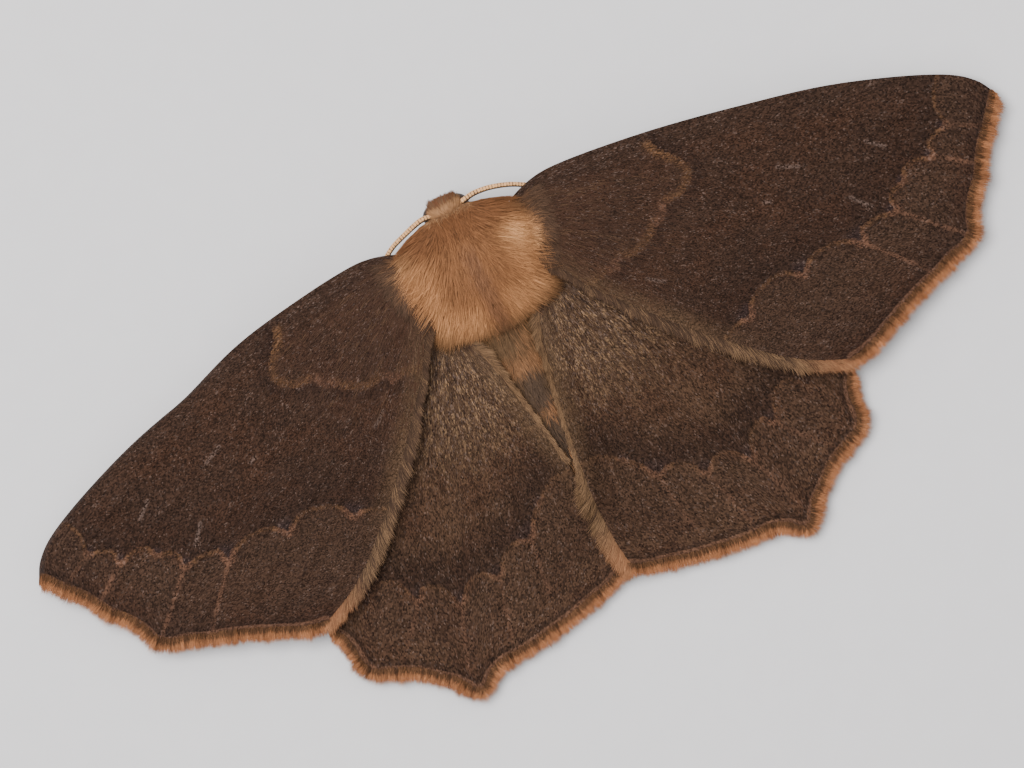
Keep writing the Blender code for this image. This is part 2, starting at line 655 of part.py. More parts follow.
def make_head():
    """A rounded skull with pockets for the eyes, a back hollowed for the thorax, and a tuft."""
    skull = superellipsoid("head", HEAD_CENTRE, HEAD_HALF, HEAD_SQUARENESS)
    cutters = [grown_thorax()]
    for side, sign in SIDES.items():
        pocket = superellipsoid(f"pocket_{side}", on_side(EYE_CENTRE, side), [EYE_RADIUS] * 3, 2.0,
                                grow=EYE_GAP)
        inner = EYE_BACK - EYE_GAP
        ends = sorted([sign * inner, -sign * 9])
        cutters.append(fuse([pocket], [box("inner", (ends[0], -9, 0), (ends[1], 9, 9))]))

    def skull_top(across, back):
        return superellipsoid_top(HEAD_CENTRE, HEAD_HALF, HEAD_SQUARENESS, across, back)

    draw = random.Random(HEAD_SEED)
    locks = grid_locks(HEAD_ROWS, -1.0, HEAD_LOCK_WIDTH, HEAD_LOCK_THICKNESS, HEAD_LOCK_LIFT, skull_top,
                       lambda across, back: 0.0, draw)
    return fuse([skull, *locks], cutters)


def make_eye(name):
    side = name.split("_")[1]
    eye = superellipsoid(name, on_side(EYE_CENTRE, side), [EYE_RADIUS] * 3, 2.0, segments=16, rings=10)
    ends = sorted([SIDES[side] * EYE_BACK, -SIDES[side] * 9])
    return fuse([eye], [box("inner", (ends[0], -9, 0), (ends[1], 9, 9))])


def make_antenna(name):
    side = name.split("_")[1]
    used = sum(abs(a / b) ** HEAD_SQUARENESS for a, b in zip(ANTENNA_SOCKET, HEAD_HALF))
    on_skull = ANTENNA_SOCKET * used ** (-1.0 / HEAD_SQUARENESS)
    socket = HEAD_CENTRE + on_skull + on_skull.normalized() * GAP
    route = [on_side(point, side) for point in [socket, *ANTENNA_ROUTES[side]]]
    return tube(name, route, [ANTENNA_RADIUS, ANTENNA_RADIUS, ANTENNA_TIP_RADIUS], steps=ANTENNA_STEPS)


def make_palp(name):
    side = name.split("_")[1]
    return tube(name, [on_side(point, side) for point in PALP_ROUTE], PALP_RADII, resolution=2, steps=7)


def make_abdomen():
    """Overlapping rings from the thorax to the tip, each a little wider at its rear edge."""
    bm = bmesh.new()
    length = (ABDOMEN_END - ABDOMEN_START) / ABDOMEN_RINGS
    stations = [(ABDOMEN_START, 0.0)]
    for ring in range(ABDOMEN_RINGS):
        front = ABDOMEN_START + ring * length
        stations += [(front + 0.18 * length, 0.0), (front + 0.8 * length, RING_STEP),
                     (front + 0.98 * length, 0.3 * RING_STEP)]
    loops = []
    for back, swell in stations[:-1]:
        height, half = abdomen_shape(back)
        loop = []
        for step in range(RING_SIDES):
            angle = 2.0 * math.pi * step / RING_SIDES
            across = (half + swell) * math.cos(angle)
            upright = (ABDOMEN_FLATNESS * half + swell) * math.sin(angle)
            loop.append(bm.verts.new((across, back, height + upright)))
        loops.append(loop)
    for front, rear in zip(loops[:-1], loops[1:]):
        for a, b, c, d in zip(front, [*front[1:], front[0]], [*rear[1:], rear[0]], rear):
            bm.faces.new((a, b, c, d))
    bm.faces.new(loops[0])
    tip = bm.verts.new((0.0, ABDOMEN_END, ABDOMEN_REAR_HEIGHT))
    for a, b in zip(loops[-1], [*loops[-1][1:], loops[-1][0]]):
        bm.faces.new((a, b, tip))
    bmesh.ops.recalc_face_normals(bm, faces=bm.faces)
    draw = random.Random(ABDOMEN_SEED)

    def top(across, back):
        height, half = abdomen_shape(back)
        return height + ABDOMEN_FLATNESS * math.sqrt(max(half * half - across * across, 0.0))

    locks = grid_locks(ABDOMEN_ROWS, 1.0, 0.5, 0.26, 0.12, top, lambda across, back: 0.0, draw)
    for i in range(TIP_TUFT_LOCKS):
        spread = (i + 0.5) / TIP_TUFT_LOCKS - 0.5
        root = Vector((spread * 0.7, ABDOMEN_END - 0.6, ABDOMEN_REAR_HEIGHT))
        tip = root + Vector((spread * 0.9, TIP_TUFT_LENGTH, draw.uniform(-0.1, 0.05)))
        points = [root, root.lerp(tip, 0.4), root.lerp(tip, 0.75), tip]
        locks.append(lock("tuft", points, [0.4, 0.42, 0.3], 0.3, Vector((0.0, 0.0, 1.0))))
    return fuse([make_piece("abdomen", bm), *locks], [grown_thorax()])


def make_leg(name):
    kind, side = name.split("_")
    *joints, toe = LEGS[name]
    ankle, toe = Vector(joints[-1]), Vector((*toe, TARSUS_HEIGHT))
    flat = Vector((toe.x - ankle.x, toe.y - ankle.y, 0.0)).normalized()
    heel = toe - flat * TARSUS_REST
    route = [on_side(point, side) for point in [*joints, heel, toe]]
    pieces = [tube(name, route, LEG_RADII)]
    knee, ankle = route[2], route[3]
    tibia = ankle - knee
    for share in SPUR_PLACES[kind]:
        for turn in (-1.0, 1.0):
            base = knee + tibia * share
            sideways = tibia.normalized().cross(Vector((0.0, 0.0, turn)))
            lean = (tibia.normalized() + sideways * 0.55).normalized()
            pieces.append(cone("spur", base, base + lean * SPUR_LENGTH, SPUR_RADIUS))
    ground = box("ground", (-30, -30, -5), (30, 30, 0))
    return fuse(pieces, [ground])


def build_moth():
    clear_scene()
    collection = bpy.data.collections.new("looper_moth")
    bpy.context.scene.collection.children.link(collection)
    root = bpy.data.objects.new("moth_origin", None)
    root.location = (0.0, -THORAX_FORWARD * MM, 0.0)
    collection.objects.link(root)
    wing_scales = make_material("wing_scales", (0.055, 0.030, 0.020), 0.75)
    hind_scales = make_material("hindwing_scales", (0.085, 0.048, 0.026), 0.75)
    body_hair = make_material("body_hair", (0.42, 0.20, 0.10), 0.85)
    head_hair = make_material("head_hair", (0.45, 0.27, 0.16), 0.85)
    belly = make_material("abdomen_scales", (0.16, 0.09, 0.045), 0.8)
    leg_scales = make_material("leg_scales", (0.14, 0.08, 0.05), 0.7)
    feeler = make_material("antenna_scales", (0.5, 0.38, 0.27), 0.6)
    eye_gloss = make_material("eye_gloss", (0.01, 0.008, 0.006), 0.15)

    add_node("thorax", make_thorax(), body_hair, collection, root)
    add_node("head", make_head(), head_hair, collection, root)
    add_node("abdomen", make_abdomen(), belly, collection, root)
    for side in SIDES:
        add_node(f"eye_{side}", make_eye(f"eye_{side}"), eye_gloss, collection, root)
        add_node(f"antenna_{side}", make_antenna(f"antenna_{side}"), feeler, collection, root)
        add_node(f"palp_{side}", make_palp(f"palp_{side}"), head_hair, collection, root)
        add_node(f"forewing_{side}", make_wing(f"forewing_{side}"), wing_scales, collection, root)
        add_node(f"hindwing_{side}", make_wing(f"hindwing_{side}"), hind_scales, collection, root)
    for name in LEGS:
        add_node(name, make_leg(name), leg_scales, collection, root)


build_moth()
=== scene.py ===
"""The looks of a resting looper moth: scaled wings, furred body, eyes, feelers and legs.

Shapes are worked out in millimetres in the moth's own frame: "out" runs from the midline to either
side, "back" runs tailward from the middle of the thorax, and the floor is at height 0.
"""

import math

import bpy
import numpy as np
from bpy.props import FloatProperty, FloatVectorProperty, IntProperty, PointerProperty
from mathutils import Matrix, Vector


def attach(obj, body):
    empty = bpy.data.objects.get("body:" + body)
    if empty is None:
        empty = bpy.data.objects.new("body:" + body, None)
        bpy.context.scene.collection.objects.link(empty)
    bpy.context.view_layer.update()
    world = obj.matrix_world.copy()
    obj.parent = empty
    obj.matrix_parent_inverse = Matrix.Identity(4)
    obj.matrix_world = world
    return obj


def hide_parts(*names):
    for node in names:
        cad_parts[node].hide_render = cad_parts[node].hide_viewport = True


bl_info = {
    "name": "Looper moth",
    "version": (1, 0, 0),
    "blender": (4, 5, 0),
    "location": "View3D > Sidebar > Moth",
    "description": "Builds the wings, coat, head and legs of a looper moth at rest",
    "category": "Add Mesh",
}

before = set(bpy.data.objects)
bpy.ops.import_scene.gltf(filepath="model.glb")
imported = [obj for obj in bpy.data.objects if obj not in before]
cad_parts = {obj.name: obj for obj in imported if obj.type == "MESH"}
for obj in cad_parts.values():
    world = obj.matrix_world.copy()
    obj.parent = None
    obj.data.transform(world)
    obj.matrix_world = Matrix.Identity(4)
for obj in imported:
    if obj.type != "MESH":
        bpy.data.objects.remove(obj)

MM = 0.001
THORAX_FORWARD = 6.35  # of the middle of the whole moth
SEED = 48
HASH_PRIMES = (73856093, 19349663)  # give each cell of a plan its own random value
SIDES = {"left": 1.0, "right": -1.0}

# Body: places along it as (back, height of the middle, half width, half height)
BODY_STATIONS = [
    (-3.86, 2.12, 0.10, 0.10), (-3.78, 2.14, 0.36, 0.42), (-3.6, 2.2, 0.52, 0.64), (-3.2, 2.25, 0.64, 0.76),
    (-2.75, 2.35, 0.62, 0.74), (-2.45, 2.5, 0.8, 0.84), (-2.15, 2.75, 1.4, 1.1), (-1.6, 2.85, 1.9, 1.3),
    (-0.6, 2.88, 2.15, 1.38), (0.3, 2.85, 2.12, 1.36), (1.0, 2.65, 1.85, 1.22), (1.7, 2.15, 1.4, 1.0),
    (2.3, 1.58, 1.2, 0.76), (3.6, 1.42, 1.18, 0.72), (5.0, 1.34, 1.16, 0.72), (6.6, 1.27, 1.08, 0.66),
    (8.2, 1.19, 0.92, 0.56), (9.6, 1.11, 0.66, 0.42), (10.5, 1.07, 0.36, 0.24), (10.85, 1.05, 0.06, 0.05),
]
THORAX_HALF = np.array([2.35, 2.1, 1.5])
THORAX_CENTRE = np.array([0.0, -0.15, 2.85])
THORAX_SQUARENESS, BODY_SQUARENESS = 2.6, 2.3
SKIN_GRID, SKIN_SHADE = (72, 190), 0.55
ABDOMEN_START, ABDOMEN_END = 1.2, 10.9

# Wings: the membrane's outline as (out, back), from the root to the margin or front to back
FOREWING = {
    "root": (-1.75, -0.2),
    "root_height": 2.9,
    "front": [(2.5, -2.3), (3.1, -2.62), (4.0, -2.88), (5.0, -2.95), (7.0, -2.78), (10.0, -2.35),
              (13.5, -1.68), (17.0, -0.88), (20.0, 0.12), (22.3, 1.12), (23.4, 1.95), (23.95, 2.85)],
    "margin": [(23.45, 3.35), (22.85, 3.92), (22.3, 4.45), (21.85, 5.1), (21.45, 5.75), (20.85, 6.4),
               (20.4, 7.1), (20.15, 7.75), (19.7, 8.08), (18.9, 8.25), (18.1, 8.58), (17.1, 8.87),
               (16.15, 9.22),
               (15.2, 9.62), (14.4, 9.97), (13.6, 10.22), (12.9, 10.3)],
    "inner": [(3.3, 0.9), (3.9, 1.8), (4.5, 2.7), (5.5, 3.9), (6.5, 5.1), (7.5, 6.2),
              (8.5, 7.2), (9.5, 8.15), (10.5, 9.0), (11.6, 9.7)],
    # where each main vein ends, as a share of the margin, and how far from the root it starts
    "veins": [(0.035, 0.3), (0.13, 0.0), (0.27, 0.48), (0.44, 0.5), (0.57, 0.48), (0.69, 0.0),
              (0.80, 0.3), (0.93, 0.02)],
    "grid": (200, 130),
    # the scalloped lines from the front edge to the inner edge, as arcs that meet in cusps
    "inner_line": [[(9.2, -2.3), (9.45, -1.6), (9.85, -1.1), (10.25, -0.6), (10.35, -0.1), (10.1, 0.3),
                    (9.5, 0.7), (8.75, 0.78), (8.4, 1.25)],
                   [(8.4, 1.25), (7.95, 1.4), (7.33, 1.9), (6.5, 2.15), (5.83, 2.05), (5.6, 2.45)],
                   [(5.6, 2.45), (5.0, 2.35), (4.3, 2.5), (3.6, 2.6)]],
    "outer_line": [[(21.9, 0.95), (21.5, 1.5), (21.15, 2.2), (21.25, 3.1)],
                   [(21.25, 3.1), (20.85, 3.15), (20.2, 3.45), (20.12, 4.05)],
                   [(20.12, 4.05), (19.5, 3.85), (18.75, 3.95), (18.5, 4.45)],
                   [(18.5, 4.45), (18.0, 4.55), (17.6, 4.85), (17.6, 5.47)],
                   [(17.6, 5.47), (16.6, 5.35), (15.85, 5.55), (15.75, 6.15)],
                   [(15.75, 6.15), (15.3, 5.75), (14.3, 5.5), (13.3, 5.65), (12.75, 6.15)],
                   [(12.75, 6.15), (12.3, 5.8), (11.6, 5.65), (10.8, 5.85), (10.1, 6.2), (9.8, 6.8)],
                   [(9.8, 6.8), (9.3, 6.75), (8.5, 7.05), (8.0, 7.5)]],
    "far_corners": [(4.0, 16.0), (30.0, 16.0), (30.0, -8.0)],
    "cusps": [(21.25, 3.1, 0.5), (20.12, 4.05, 0.6), (18.5, 4.45, 0.5), (17.6, 5.47, 0.7),
              (15.75, 6.1, 1.2), (12.8, 6.1, 0.9), (9.8, 6.7, 0.9), (8.35, 1.1, 1.2), (5.6, 2.35, 1.0)],
    "pale_veins": [((21.25, 3.1), (22.95, 4.0)), ((20.12, 4.05), (21.7, 5.2)), ((17.6, 5.5), (19.95, 7.8)),
                   ((15.78, 6.2), (17.95, 8.68))],
    "dashes": [((13.8, 1.5), (14.7, 1.9)), ((16.1, 4.1), (16.8, 4.9)), ((17.8, 2.2), (18.5, 2.8)),
               ((6.5, 3.3), (7.2, 3.8)), ((12.6, 2.6), (12.85, 2.75))],
    # how strongly each marking shows, and about how long the wing is
    "look": {"pale_base": 0.03, "shade": 0.38, "bloom": 0.45, "beyond": 0.7, "line_width": 0.22, "line": 0.36,
             "veins": 0.36, "rays": 0.3, "least": 0.75},
    "reach": 22.0,
}
HINDWING = {
    "root": (-0.35, 1.15),
    "root_height": 2.0,
    "front": [(4.0, 0.25), (7.0, 2.6), (10.0, 6.0), (12.05, 9.1), (12.85, 10.95)],
    "margin": [(12.4, 11.55), (12.15, 12.25), (12.1, 12.85), (11.85, 13.35), (11.05, 13.7), (10.05, 14.2),
               (9.25, 14.88), (8.68, 15.35), (8.05, 16.2), (7.42, 15.7), (6.65, 15.4), (5.93, 15.38),
               (5.12, 15.32), (4.1, 15.15), (3.05, 14.98), (2.0, 14.7), (0.95, 14.45), (0.3, 14.12)],
    "inner": [(1.9, 1.9), (1.5, 2.8), (1.15, 3.8), (0.88, 5.0), (0.65, 6.0), (0.47, 7.0), (0.3, 8.0),
              (0.18, 9.0), (0.08, 10.0), (0.0, 11.0), (0.0, 12.4), (0.08, 13.5)],
    "veins": [(0.13, 0.03), (0.25, 0.4), (0.425, 0.42), (0.60, 0.4), (0.735, 0.02), (0.88, 0.02)],
    "grid": (160, 120),
    "inner_line": [[(30.0, 0.0), (30.0, 1.0), (30.0, 2.0)]],  # hidden by hair on this wing
    "outer_line": [[(11.6, 9.9), (11.2, 10.1), (10.9, 10.7)],
                   [(10.9, 10.7), (10.5, 10.2), (9.9, 9.95), (9.35, 10.15), (9.05, 10.6), (8.8, 11.5)],
                   [(8.8, 11.5), (8.4, 11.0), (7.85, 11.1), (7.4, 11.6), (7.15, 12.5)],
                   [(7.15, 12.5), (6.6, 11.75), (5.75, 11.55), (5.1, 12.1)],
                   [(5.1, 12.1), (4.6, 11.35), (3.8, 11.0), (3.15, 11.2)],
                   [(3.15, 11.2), (2.7, 10.45), (2.0, 9.8), (1.1, 9.25), (0.0, 9.15)]],
    "far_corners": [(-3.0, 9.15), (-3.0, 20.0), (20.0, 20.0), (20.0, 9.5)],
    "cusps": [(3.13, 11.1, 1.2), (5.1, 12.0, 0.8), (7.13, 12.4, 1.0), (8.7, 11.45, 1.0), (2.0, 10.0, 0.5)],
    "pale_veins": [((3.13, 11.1), (3.6, 14.7)), ((5.1, 12.0), (5.9, 15.0)), ((7.13, 12.4), (8.2, 15.2)),
                   ((8.7, 11.45), (10.6, 13.6))],
    "dashes": [],
    "look": {"pale_base": 0.24, "shade": 0.6, "bloom": 0.28, "beyond": 0.5, "line_width": 0.18, "line": 0.13,
             "veins": 0.17, "rays": 0.5, "least": 0.65},
    "reach": 15.0,
}
FAR_AWAY = 9.0  # a distance at which no line shows
PATTERN_WIDTH = 12.0  # of both wings, from the front edge to the inner one
MOSAIC_INPUTS = ("Place", "Size", "Stretch", "Pale share", "Dark share")
MOSAIC_OUTPUTS = ("Tone", "Pale", "Dark", "Height")
SCALE_SHARPNESS = 9.0  # how sharply a scale is pale or dark, or neither
RAY_STRETCH = (0.13, 1.6, 1.0)  # the wings' rays run from the root to the margin
HAIR_FINENESS, LIMB_FINENESS, FACETS, EYE_MOTTLING = 16000.0, 9000.0, 28000.0, 2500.0  # to the metre
WINGS = {"forewing": FOREWING, "hindwing": HINDWING}
WING_NAMES = ("forewing_left", "forewing_right", "hindwing_left", "hindwing_right")
REACH = {"forewing_left": 0.978, "forewing_right": 1.0, "hindwing_left": 1.0, "hindwing_right": 1.0}
MEMBRANE_LIFT = 0.12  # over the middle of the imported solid
MARGIN_REACH = {"forewing": 0.22, "hindwing": 0.16}  # how far the scales run out over the fringe's roots

# How high the wings lie
MARGIN_HEIGHT, ROOT_RISE, TIP_DROOP = 1.5, 1.65, 0.5
TIP_OUT = (14.0, 24.0)
SPREAD = (25.0, 15.0)
HINDWING_DROP = 0.82
TUCK_LIFT, TUCK_DEPTH = 0.42, 0.9  # how the hindwing's front edge closes up under the forewing
TUCK_START, TUCK_OUT = (2.3, -0.2), (9.0, 5.0)
ABDOMEN_CLEARANCE, ABDOMEN_DRAPE = 0.3, 0.3
OVERLAP_LIFT = 0.3
OVERLAP_OUT, OVERLAP_BACK = (1.7, 0.3), (8.0, 9.6)  # where the right hindwing rises over the left one
LEFT_INNER_TRIM = 0.06
COSTA_ROLL = {"left": 0.9, "right": 0.2}
COSTA_ROLL_WIDTH = 1.2
ABDOMEN_HALF_WIDTH, ABDOMEN_FLATNESS = 1.3, 0.62
ABDOMEN_STRAIGHT, ABDOMEN_BEND = 0.12, 0.8  # shares of its length and of its half width
ABDOMEN_LEAST = 0.3
ABDOMEN_FRONT_HEIGHT, ABDOMEN_REAR_HEIGHT = 1.5, 1.05
BRUSH = 0.55  # how far the hair reaches past the abdomen's end

# How many tufts fringe and clothe each wing
FRINGE_WIDTH = 0.028
FRINGE_COUNT = {"forewing": 19000, "hindwing": 20000}
FRINGE_REACH = {"forewing": 17.0, "hindwing": 19.0}  # millimetres round each wing's margin
SHOULDER_COUNT = {"forewing": 5500, "hindwing": 2600}
INNER_COUNT = {"forewing": 5600, "hindwing": 6400}
# The base's hairs: how many, how far they reach from the rear edge and the root and how they crowd there, the
# wing's own colour and its strength, how they lean (in degrees) and stray, and how pale they are
BASE_HAIR = {
    "forewing": {"count": 5000, "across": (0.85, 0.9), "along": (0.015, 0.4, 2.0), "ground": ("warm", 0.95),
                 "lean": 5.0, "stray": 0.12, "pale": 0.55},
    "hindwing": {"count": 2400, "across": (0.9, 1.2), "along": (0.03, 0.45, 1.3),
                 "ground": ("hindwing", 0.75), "lean": 3.0, "stray": 0.16, "pale": 1.0},
}
BASE_WIDTH, HEM_WIDTH, SHOULDER_WIDTH = 0.026, 0.032, 0.034
SHORT_FRINGE = 0.22  # the share of short, brown hairs in the fringe
FRINGE_ROOTS, SHORT_ROOTS = (0.988, 0.999), (0.984, 0.998)  # shares of the way from the wing's root
COLLAR_EDGE = [(0.0, -3.1), (1.2, -3.2), (1.9, -2.88), (2.5, -2.6), (3.0, -2.35), (3.6, -2.1)]
COLLAR_FORWARD, COLLAR_SPREAD = 0.72, 0.42  # how far the collar's hair is rooted before and beside the skin

LEG_TUFTS = 420
MOST_TUFTS = 18000  # in one piece
COAT_STRETCH, HEAD_STRETCH, BELLY_STRETCH = (-2.55, 2.4), (-3.83, -2.7), (2.2, 10.8)  # front and rear of each
UNDER_WINGS, BREAST_FLOOR, BELLY_FLOOR, TUFT_FLOOR = 0.62, 0.15, 0.1, 0.05  # how close hair comes to them
TUFT_ROUNDNESS = 0.5  # how far the light sees a tuft's sides turned away from the skin's own facing
UV_PATCH = 0.003  # across, of each tuft's own place on the map that its colours are kept on

# Eyes, feelers, palps and legs
EYE_RADIUS, EYE_SHAPE = 0.55, (0.86, 0.96, 1.08)
EYE_CENTRE = (0.61, -3.27, 2.07)
ANTENNA_ROUTES = {
    "left": [(0.55, -3.3, 2.5), (1.05, -3.39, 2.66), (1.5, -3.32, 2.72), (2.1, -3.14, 2.66), (2.8, -2.9, 2.5),
             (3.5, -2.5, 2.28), (4.6, -2.05, 2.06), (6.4, -1.55, 1.84), (8.4, -1.3, 1.64), (9.6, -1.3, 1.52)],
    "right": [(0.55, -3.28, 2.5), (1.05, -3.38, 2.66), (1.5, -3.42, 2.72), (2.2, -3.33, 2.64),
              (3.0, -3.07, 2.46), (3.8, -2.66, 2.26), (4.9, -2.2, 2.06), (6.6, -1.6, 1.84),
              (8.5, -1.3, 1.64), (9.7, -1.25, 1.52)],
}
ANTENNA_RADIUS, ANTENNA_TIP_RADIUS, ANTENNA_RINGS = 0.13, 0.06, 72
PALP_ROUTE = [(0.22, -3.4, 1.35), (0.30, -3.52, 1.15), (0.34, -3.66, 1.08), (0.32, -3.76, 1.3),
              (0.26, -3.78, 1.55)]
PALP_RADII = [0.16, 0.21, 0.22, 0.18, 0.07]
LEG_ROOTS = {  # the hip and the trochanter
    "foreleg": [(0.75, -1.2, 1.6), (1.5, -1.6, 0.98)],
    "midleg": [(0.8, -0.35, 1.5), (1.7, -0.2, 0.93)],
    "hindleg": [(0.8, 0.5, 1.6), (1.9, 1.05, 0.98)],
}
LEGS = {  # the knee, the ankle and the toe, which stands on the floor
    "foreleg_left": [(3.2, -2.0, 1.20), (5.6, -2.3, 0.62), (8.8, -2.42)],
    "foreleg_right": [(3.2, -1.9, 1.20), (5.4, -1.9, 0.62), (8.60, -1.75)],
    "midleg_left": [(3.6, 0.7, 1.05), (6.3, 2.5, 0.62), (9.30, 4.10)],
    "midleg_right": [(3.6, 0.8, 1.05), (6.1, 2.7, 0.62), (9.00, 4.50)],
    "hindleg_left": [(2.8, 3.1, 0.93), (4.5, 6.0, 0.60), (6.20, 9.10)],
    "hindleg_right": [(2.8, 3.1, 0.93), (4.6, 5.9, 0.60), (6.40, 8.90)],
}
TARSUS_RADIUS, TARSUS_JOINTS = 0.13, 5
LIMB_STEPS = 14  # rings of points along the coxa, the femur and the tibia
SPUR_PLACES = {"foreleg": (), "midleg": (0.97,), "hindleg": (0.6, 0.97)}

# Photograph: where its middle lies, which way is up, and how much it takes in
PHOTO_WIDTH = 45.2
PHOTO_MIDDLE = (0.82, 4.78)
PHOTO_UP = (-0.4480, -0.8941)
FLOOR_SIZE, LAMP_SIZE, LAMP_PLACE = 1.2, 0.16, (0.05, -0.06, 0.26)  # in metres
SKY_STRENGTH = 0.68
SENSOR_WIDTH = 36.0  # millimetres, of the usual camera
# How bright this light shows a surface that reflects each share of it, for colours given as they look
REFLECTED = (0.0, 0.01, 0.02, 0.03, 0.05, 0.08, 0.12, 0.18, 0.27, 0.4, 0.6, 0.8)
SHOWN = (0.0, 0.012, 0.0275, 0.044, 0.079, 0.134, 0.203, 0.287, 0.376, 0.463, 0.551, 0.61)
LUMINANCE = (0.2126, 0.7152, 0.0722)
GREYING = 0.12  # as much as the light between the wings' scales deepens their colour
HAIR_GAIN = 1.17  # as much as hairs shade one another

# The body's markings, laid one over another: a colour, how strongly it shows, and over which stretch of each
# measure it sets in. Side is the distance from the midline, and rim the share of the way to the coat's rim.
THORAX_MARKS = (
    ("collar", 1.0, ("back", -1.2, -2.2)),
    ("rear", 1.0, ("back", 0.6, 1.8), ("side", 0.2, 1.0)),
    ("rear", 0.6, ("side", 1.2, 2.4), ("back", -1.8, -1.0)),
    ("edge", 0.8, ("rim", 0.82, 1.1), ("back", -2.6, -1.6)),
    ("rose", 0.8, ("side", 0.5, 0.15), ("back", -1.6, -0.9)),
)
HEAD_PLACE = (("back", -2.95, -3.1), ("side", 1.25, 1.0))
HEAD_MARKS = (
    ("head", 1.0, *HEAD_PLACE),
    ("cream", 0.28, *HEAD_PLACE, ("back", -3.3, -3.15), ("back", -2.85, -3.0)),
)
ABDOMEN_MARKS = (
    ("orange", 0.7, ("back", 3.6, 4.2), ("back", 5.0, 4.4)),
    ("band", 1.0, ("back", 4.5, 5.1), ("back", 6.7, 6.3), ("side", 0.75, 0.35)),
    ("orange", 0.9, ("back", 6.3, 6.6), ("back", 7.1, 6.8), ("out", 0.4, 0.0)),
    ("band", 1.0, ("back", 6.8, 7.1), ("back", 9.6, 9.0), ("side", 0.75, 0.35)),
)
SHOULDER_PATCHES = ((-2.35, -0.85, 0.5, 0.75), (3.1, -1.6, 0.5, 0.35))  # out, back, reach and strength
ABDOMEN_PATCH = (-0.6, 3.3, 0.3, 1.0)


def srgb(red, green, blue):
    """A linear colour from display values out of 255."""
    values = np.array([red, green, blue]) / 255.0
    return np.where(values <= 0.04045, values / 12.92, ((values + 0.055) / 1.055) ** 2.4)


def colour_setting(label, about, red, green, blue):
    """A colour a user can change, given as it looks on a screen."""
    return FloatVectorProperty(name=label, description=about, subtype="COLOR", size=3, min=0.0, max=1.0,
                               default=tuple(float(value) for value in srgb(red, green, blue)))


def size_setting(label, about, millimetres):
    """A length a user can change."""
    return FloatProperty(name=label, description=about, unit="LENGTH", min=0.0, precision=5,
                         default=millimetres * MM)


class MothWingSettings(bpy.types.PropertyGroup):
    membrane: size_setting("Membrane", "Thickness of a wing between its veins", 0.09)
    vein_relief: size_setting("Vein relief", "How far the veins stand over the membrane", 0.07)
    vein_width: size_setting("Vein width", "Half width of a vein at the margin", 0.14)
    pleat: size_setting("Pleats", "How far the membrane sinks between the veins", 0.05)
    grain: size_setting("Scale size", "Width of one scale in the wing's pattern", 0.05)
    fringe: size_setting("Fringe", "Length of the scales that fringe the margin", 0.56)
    hem: size_setting("Inner fringe", "Length of the hairs along the inner margins", 0.85)
    forewing: colour_setting("Forewing", "Scales over most of the forewing", 71, 49, 37)
    warm: colour_setting("Warm patches", "Scales near the wing's middle and base", 76, 49, 34)
    dark: colour_setting("Dark scales", "The darkest scales of both wings", 44, 30, 25)
    grey: colour_setting("Grey scales", "The bloom near the front edge", 72, 54, 44)
    bloom: colour_setting("Blue scales", "The blue-black scales inside the cusps", 54, 43, 46)
    beyond: colour_setting("Outer third", "Scales beyond the outer line", 80, 57, 43)
    ochre: colour_setting("Ochre", "The band along the inner line", 136, 94, 58)
    pink: colour_setting("Cusps", "The pale points of the outer line", 146, 100, 74)
    pale: colour_setting("Pale scales", "Single pale scales and the short dashes", 150, 124, 112)
    hindwing: colour_setting("Hindwing", "Scales over most of the hindwing", 93, 66, 47)
    fringe_root: colour_setting("Fringe root", "Inner half of the fringe", 104, 68, 42)
    fringe_tip: colour_setting("Fringe tip", "Outer half of the fringe", 182, 140, 96)
    speck: colour_setting("Hindwing specks", "Pale scales at the hindwing's base", 174, 134, 94)
    hair: colour_setting("Wing hair", "Hairs of the wing's base and inner margin", 128, 98, 68)
    hair_dark: colour_setting("Dark wing hair", "Darker hairs among them", 72, 50, 36)


class MothCoatSettings(bpy.types.PropertyGroup):
    back_hair: size_setting("Back hair", "Length of the longest hairs of the thorax", 1.75)
    head_hair: size_setting("Head hair", "Length of the hairs of the head's tuft", 0.56)
    belly_hair: size_setting("Abdomen hair", "Length of the hairs of the abdomen", 0.85)
    hair_width: size_setting("Hair width", "Width of one tuft at its middle", 0.046)
    back_tufts: IntProperty(name="Back tufts", description="Tufts on the thorax", default=48000, min=100)
    head_tufts: IntProperty(name="Head tufts", description="Tufts on the head", default=7000, min=100)
    belly_tufts: IntProperty(name="Abdomen tufts", description="Tufts on the abdomen", default=11000, min=100)
    back: colour_setting("Back", "Hair of the middle of the thorax", 153, 109, 68)
    collar: colour_setting("Collar", "Hair of the front of the thorax", 136, 89, 53)
    rear: colour_setting("Rear", "Hair of the rear of the thorax", 190, 158, 114)
    edge: colour_setting("Edge", "Hair where the thorax meets the wings", 146, 116, 82)
    cream: colour_setting("Shoulder patch", "Pale hair on the shoulders", 204, 180, 143)
    rose: colour_setting("Middle line", "Hair along the middle of the thorax", 144, 102, 70)
    head: colour_setting("Head", "Hair of the head's tuft", 128, 95, 67)
    fleck: colour_setting("Head flecks", "Redder hairs among those of the head", 122, 62, 34)
    olive: colour_setting("Abdomen front", "Hair of the first rings of the abdomen", 112, 83, 56)
    orange: colour_setting("Abdomen bands", "Hair of the abdomen's pale bands", 158, 118, 78)
    band: colour_setting("Dark bands", "Hair of the abdomen's dark patches", 92, 70, 54)


class MothLimbSettings(bpy.types.PropertyGroup):
    feeler: colour_setting("Feeler", "Scales on the upper side of the feelers", 212, 184, 150)
    feeler_dark: colour_setting("Feeler rings", "The feelers' rings and underside", 112, 84, 62)
    leg: colour_setting("Leg", "Dark scales of the legs", 88, 66, 52)
    leg_pale: colour_setting("Leg bands", "Pale scales of the legs", 160, 130, 102)
    eye: colour_setting("Eye", "The eyes under their gloss", 34, 22, 16)


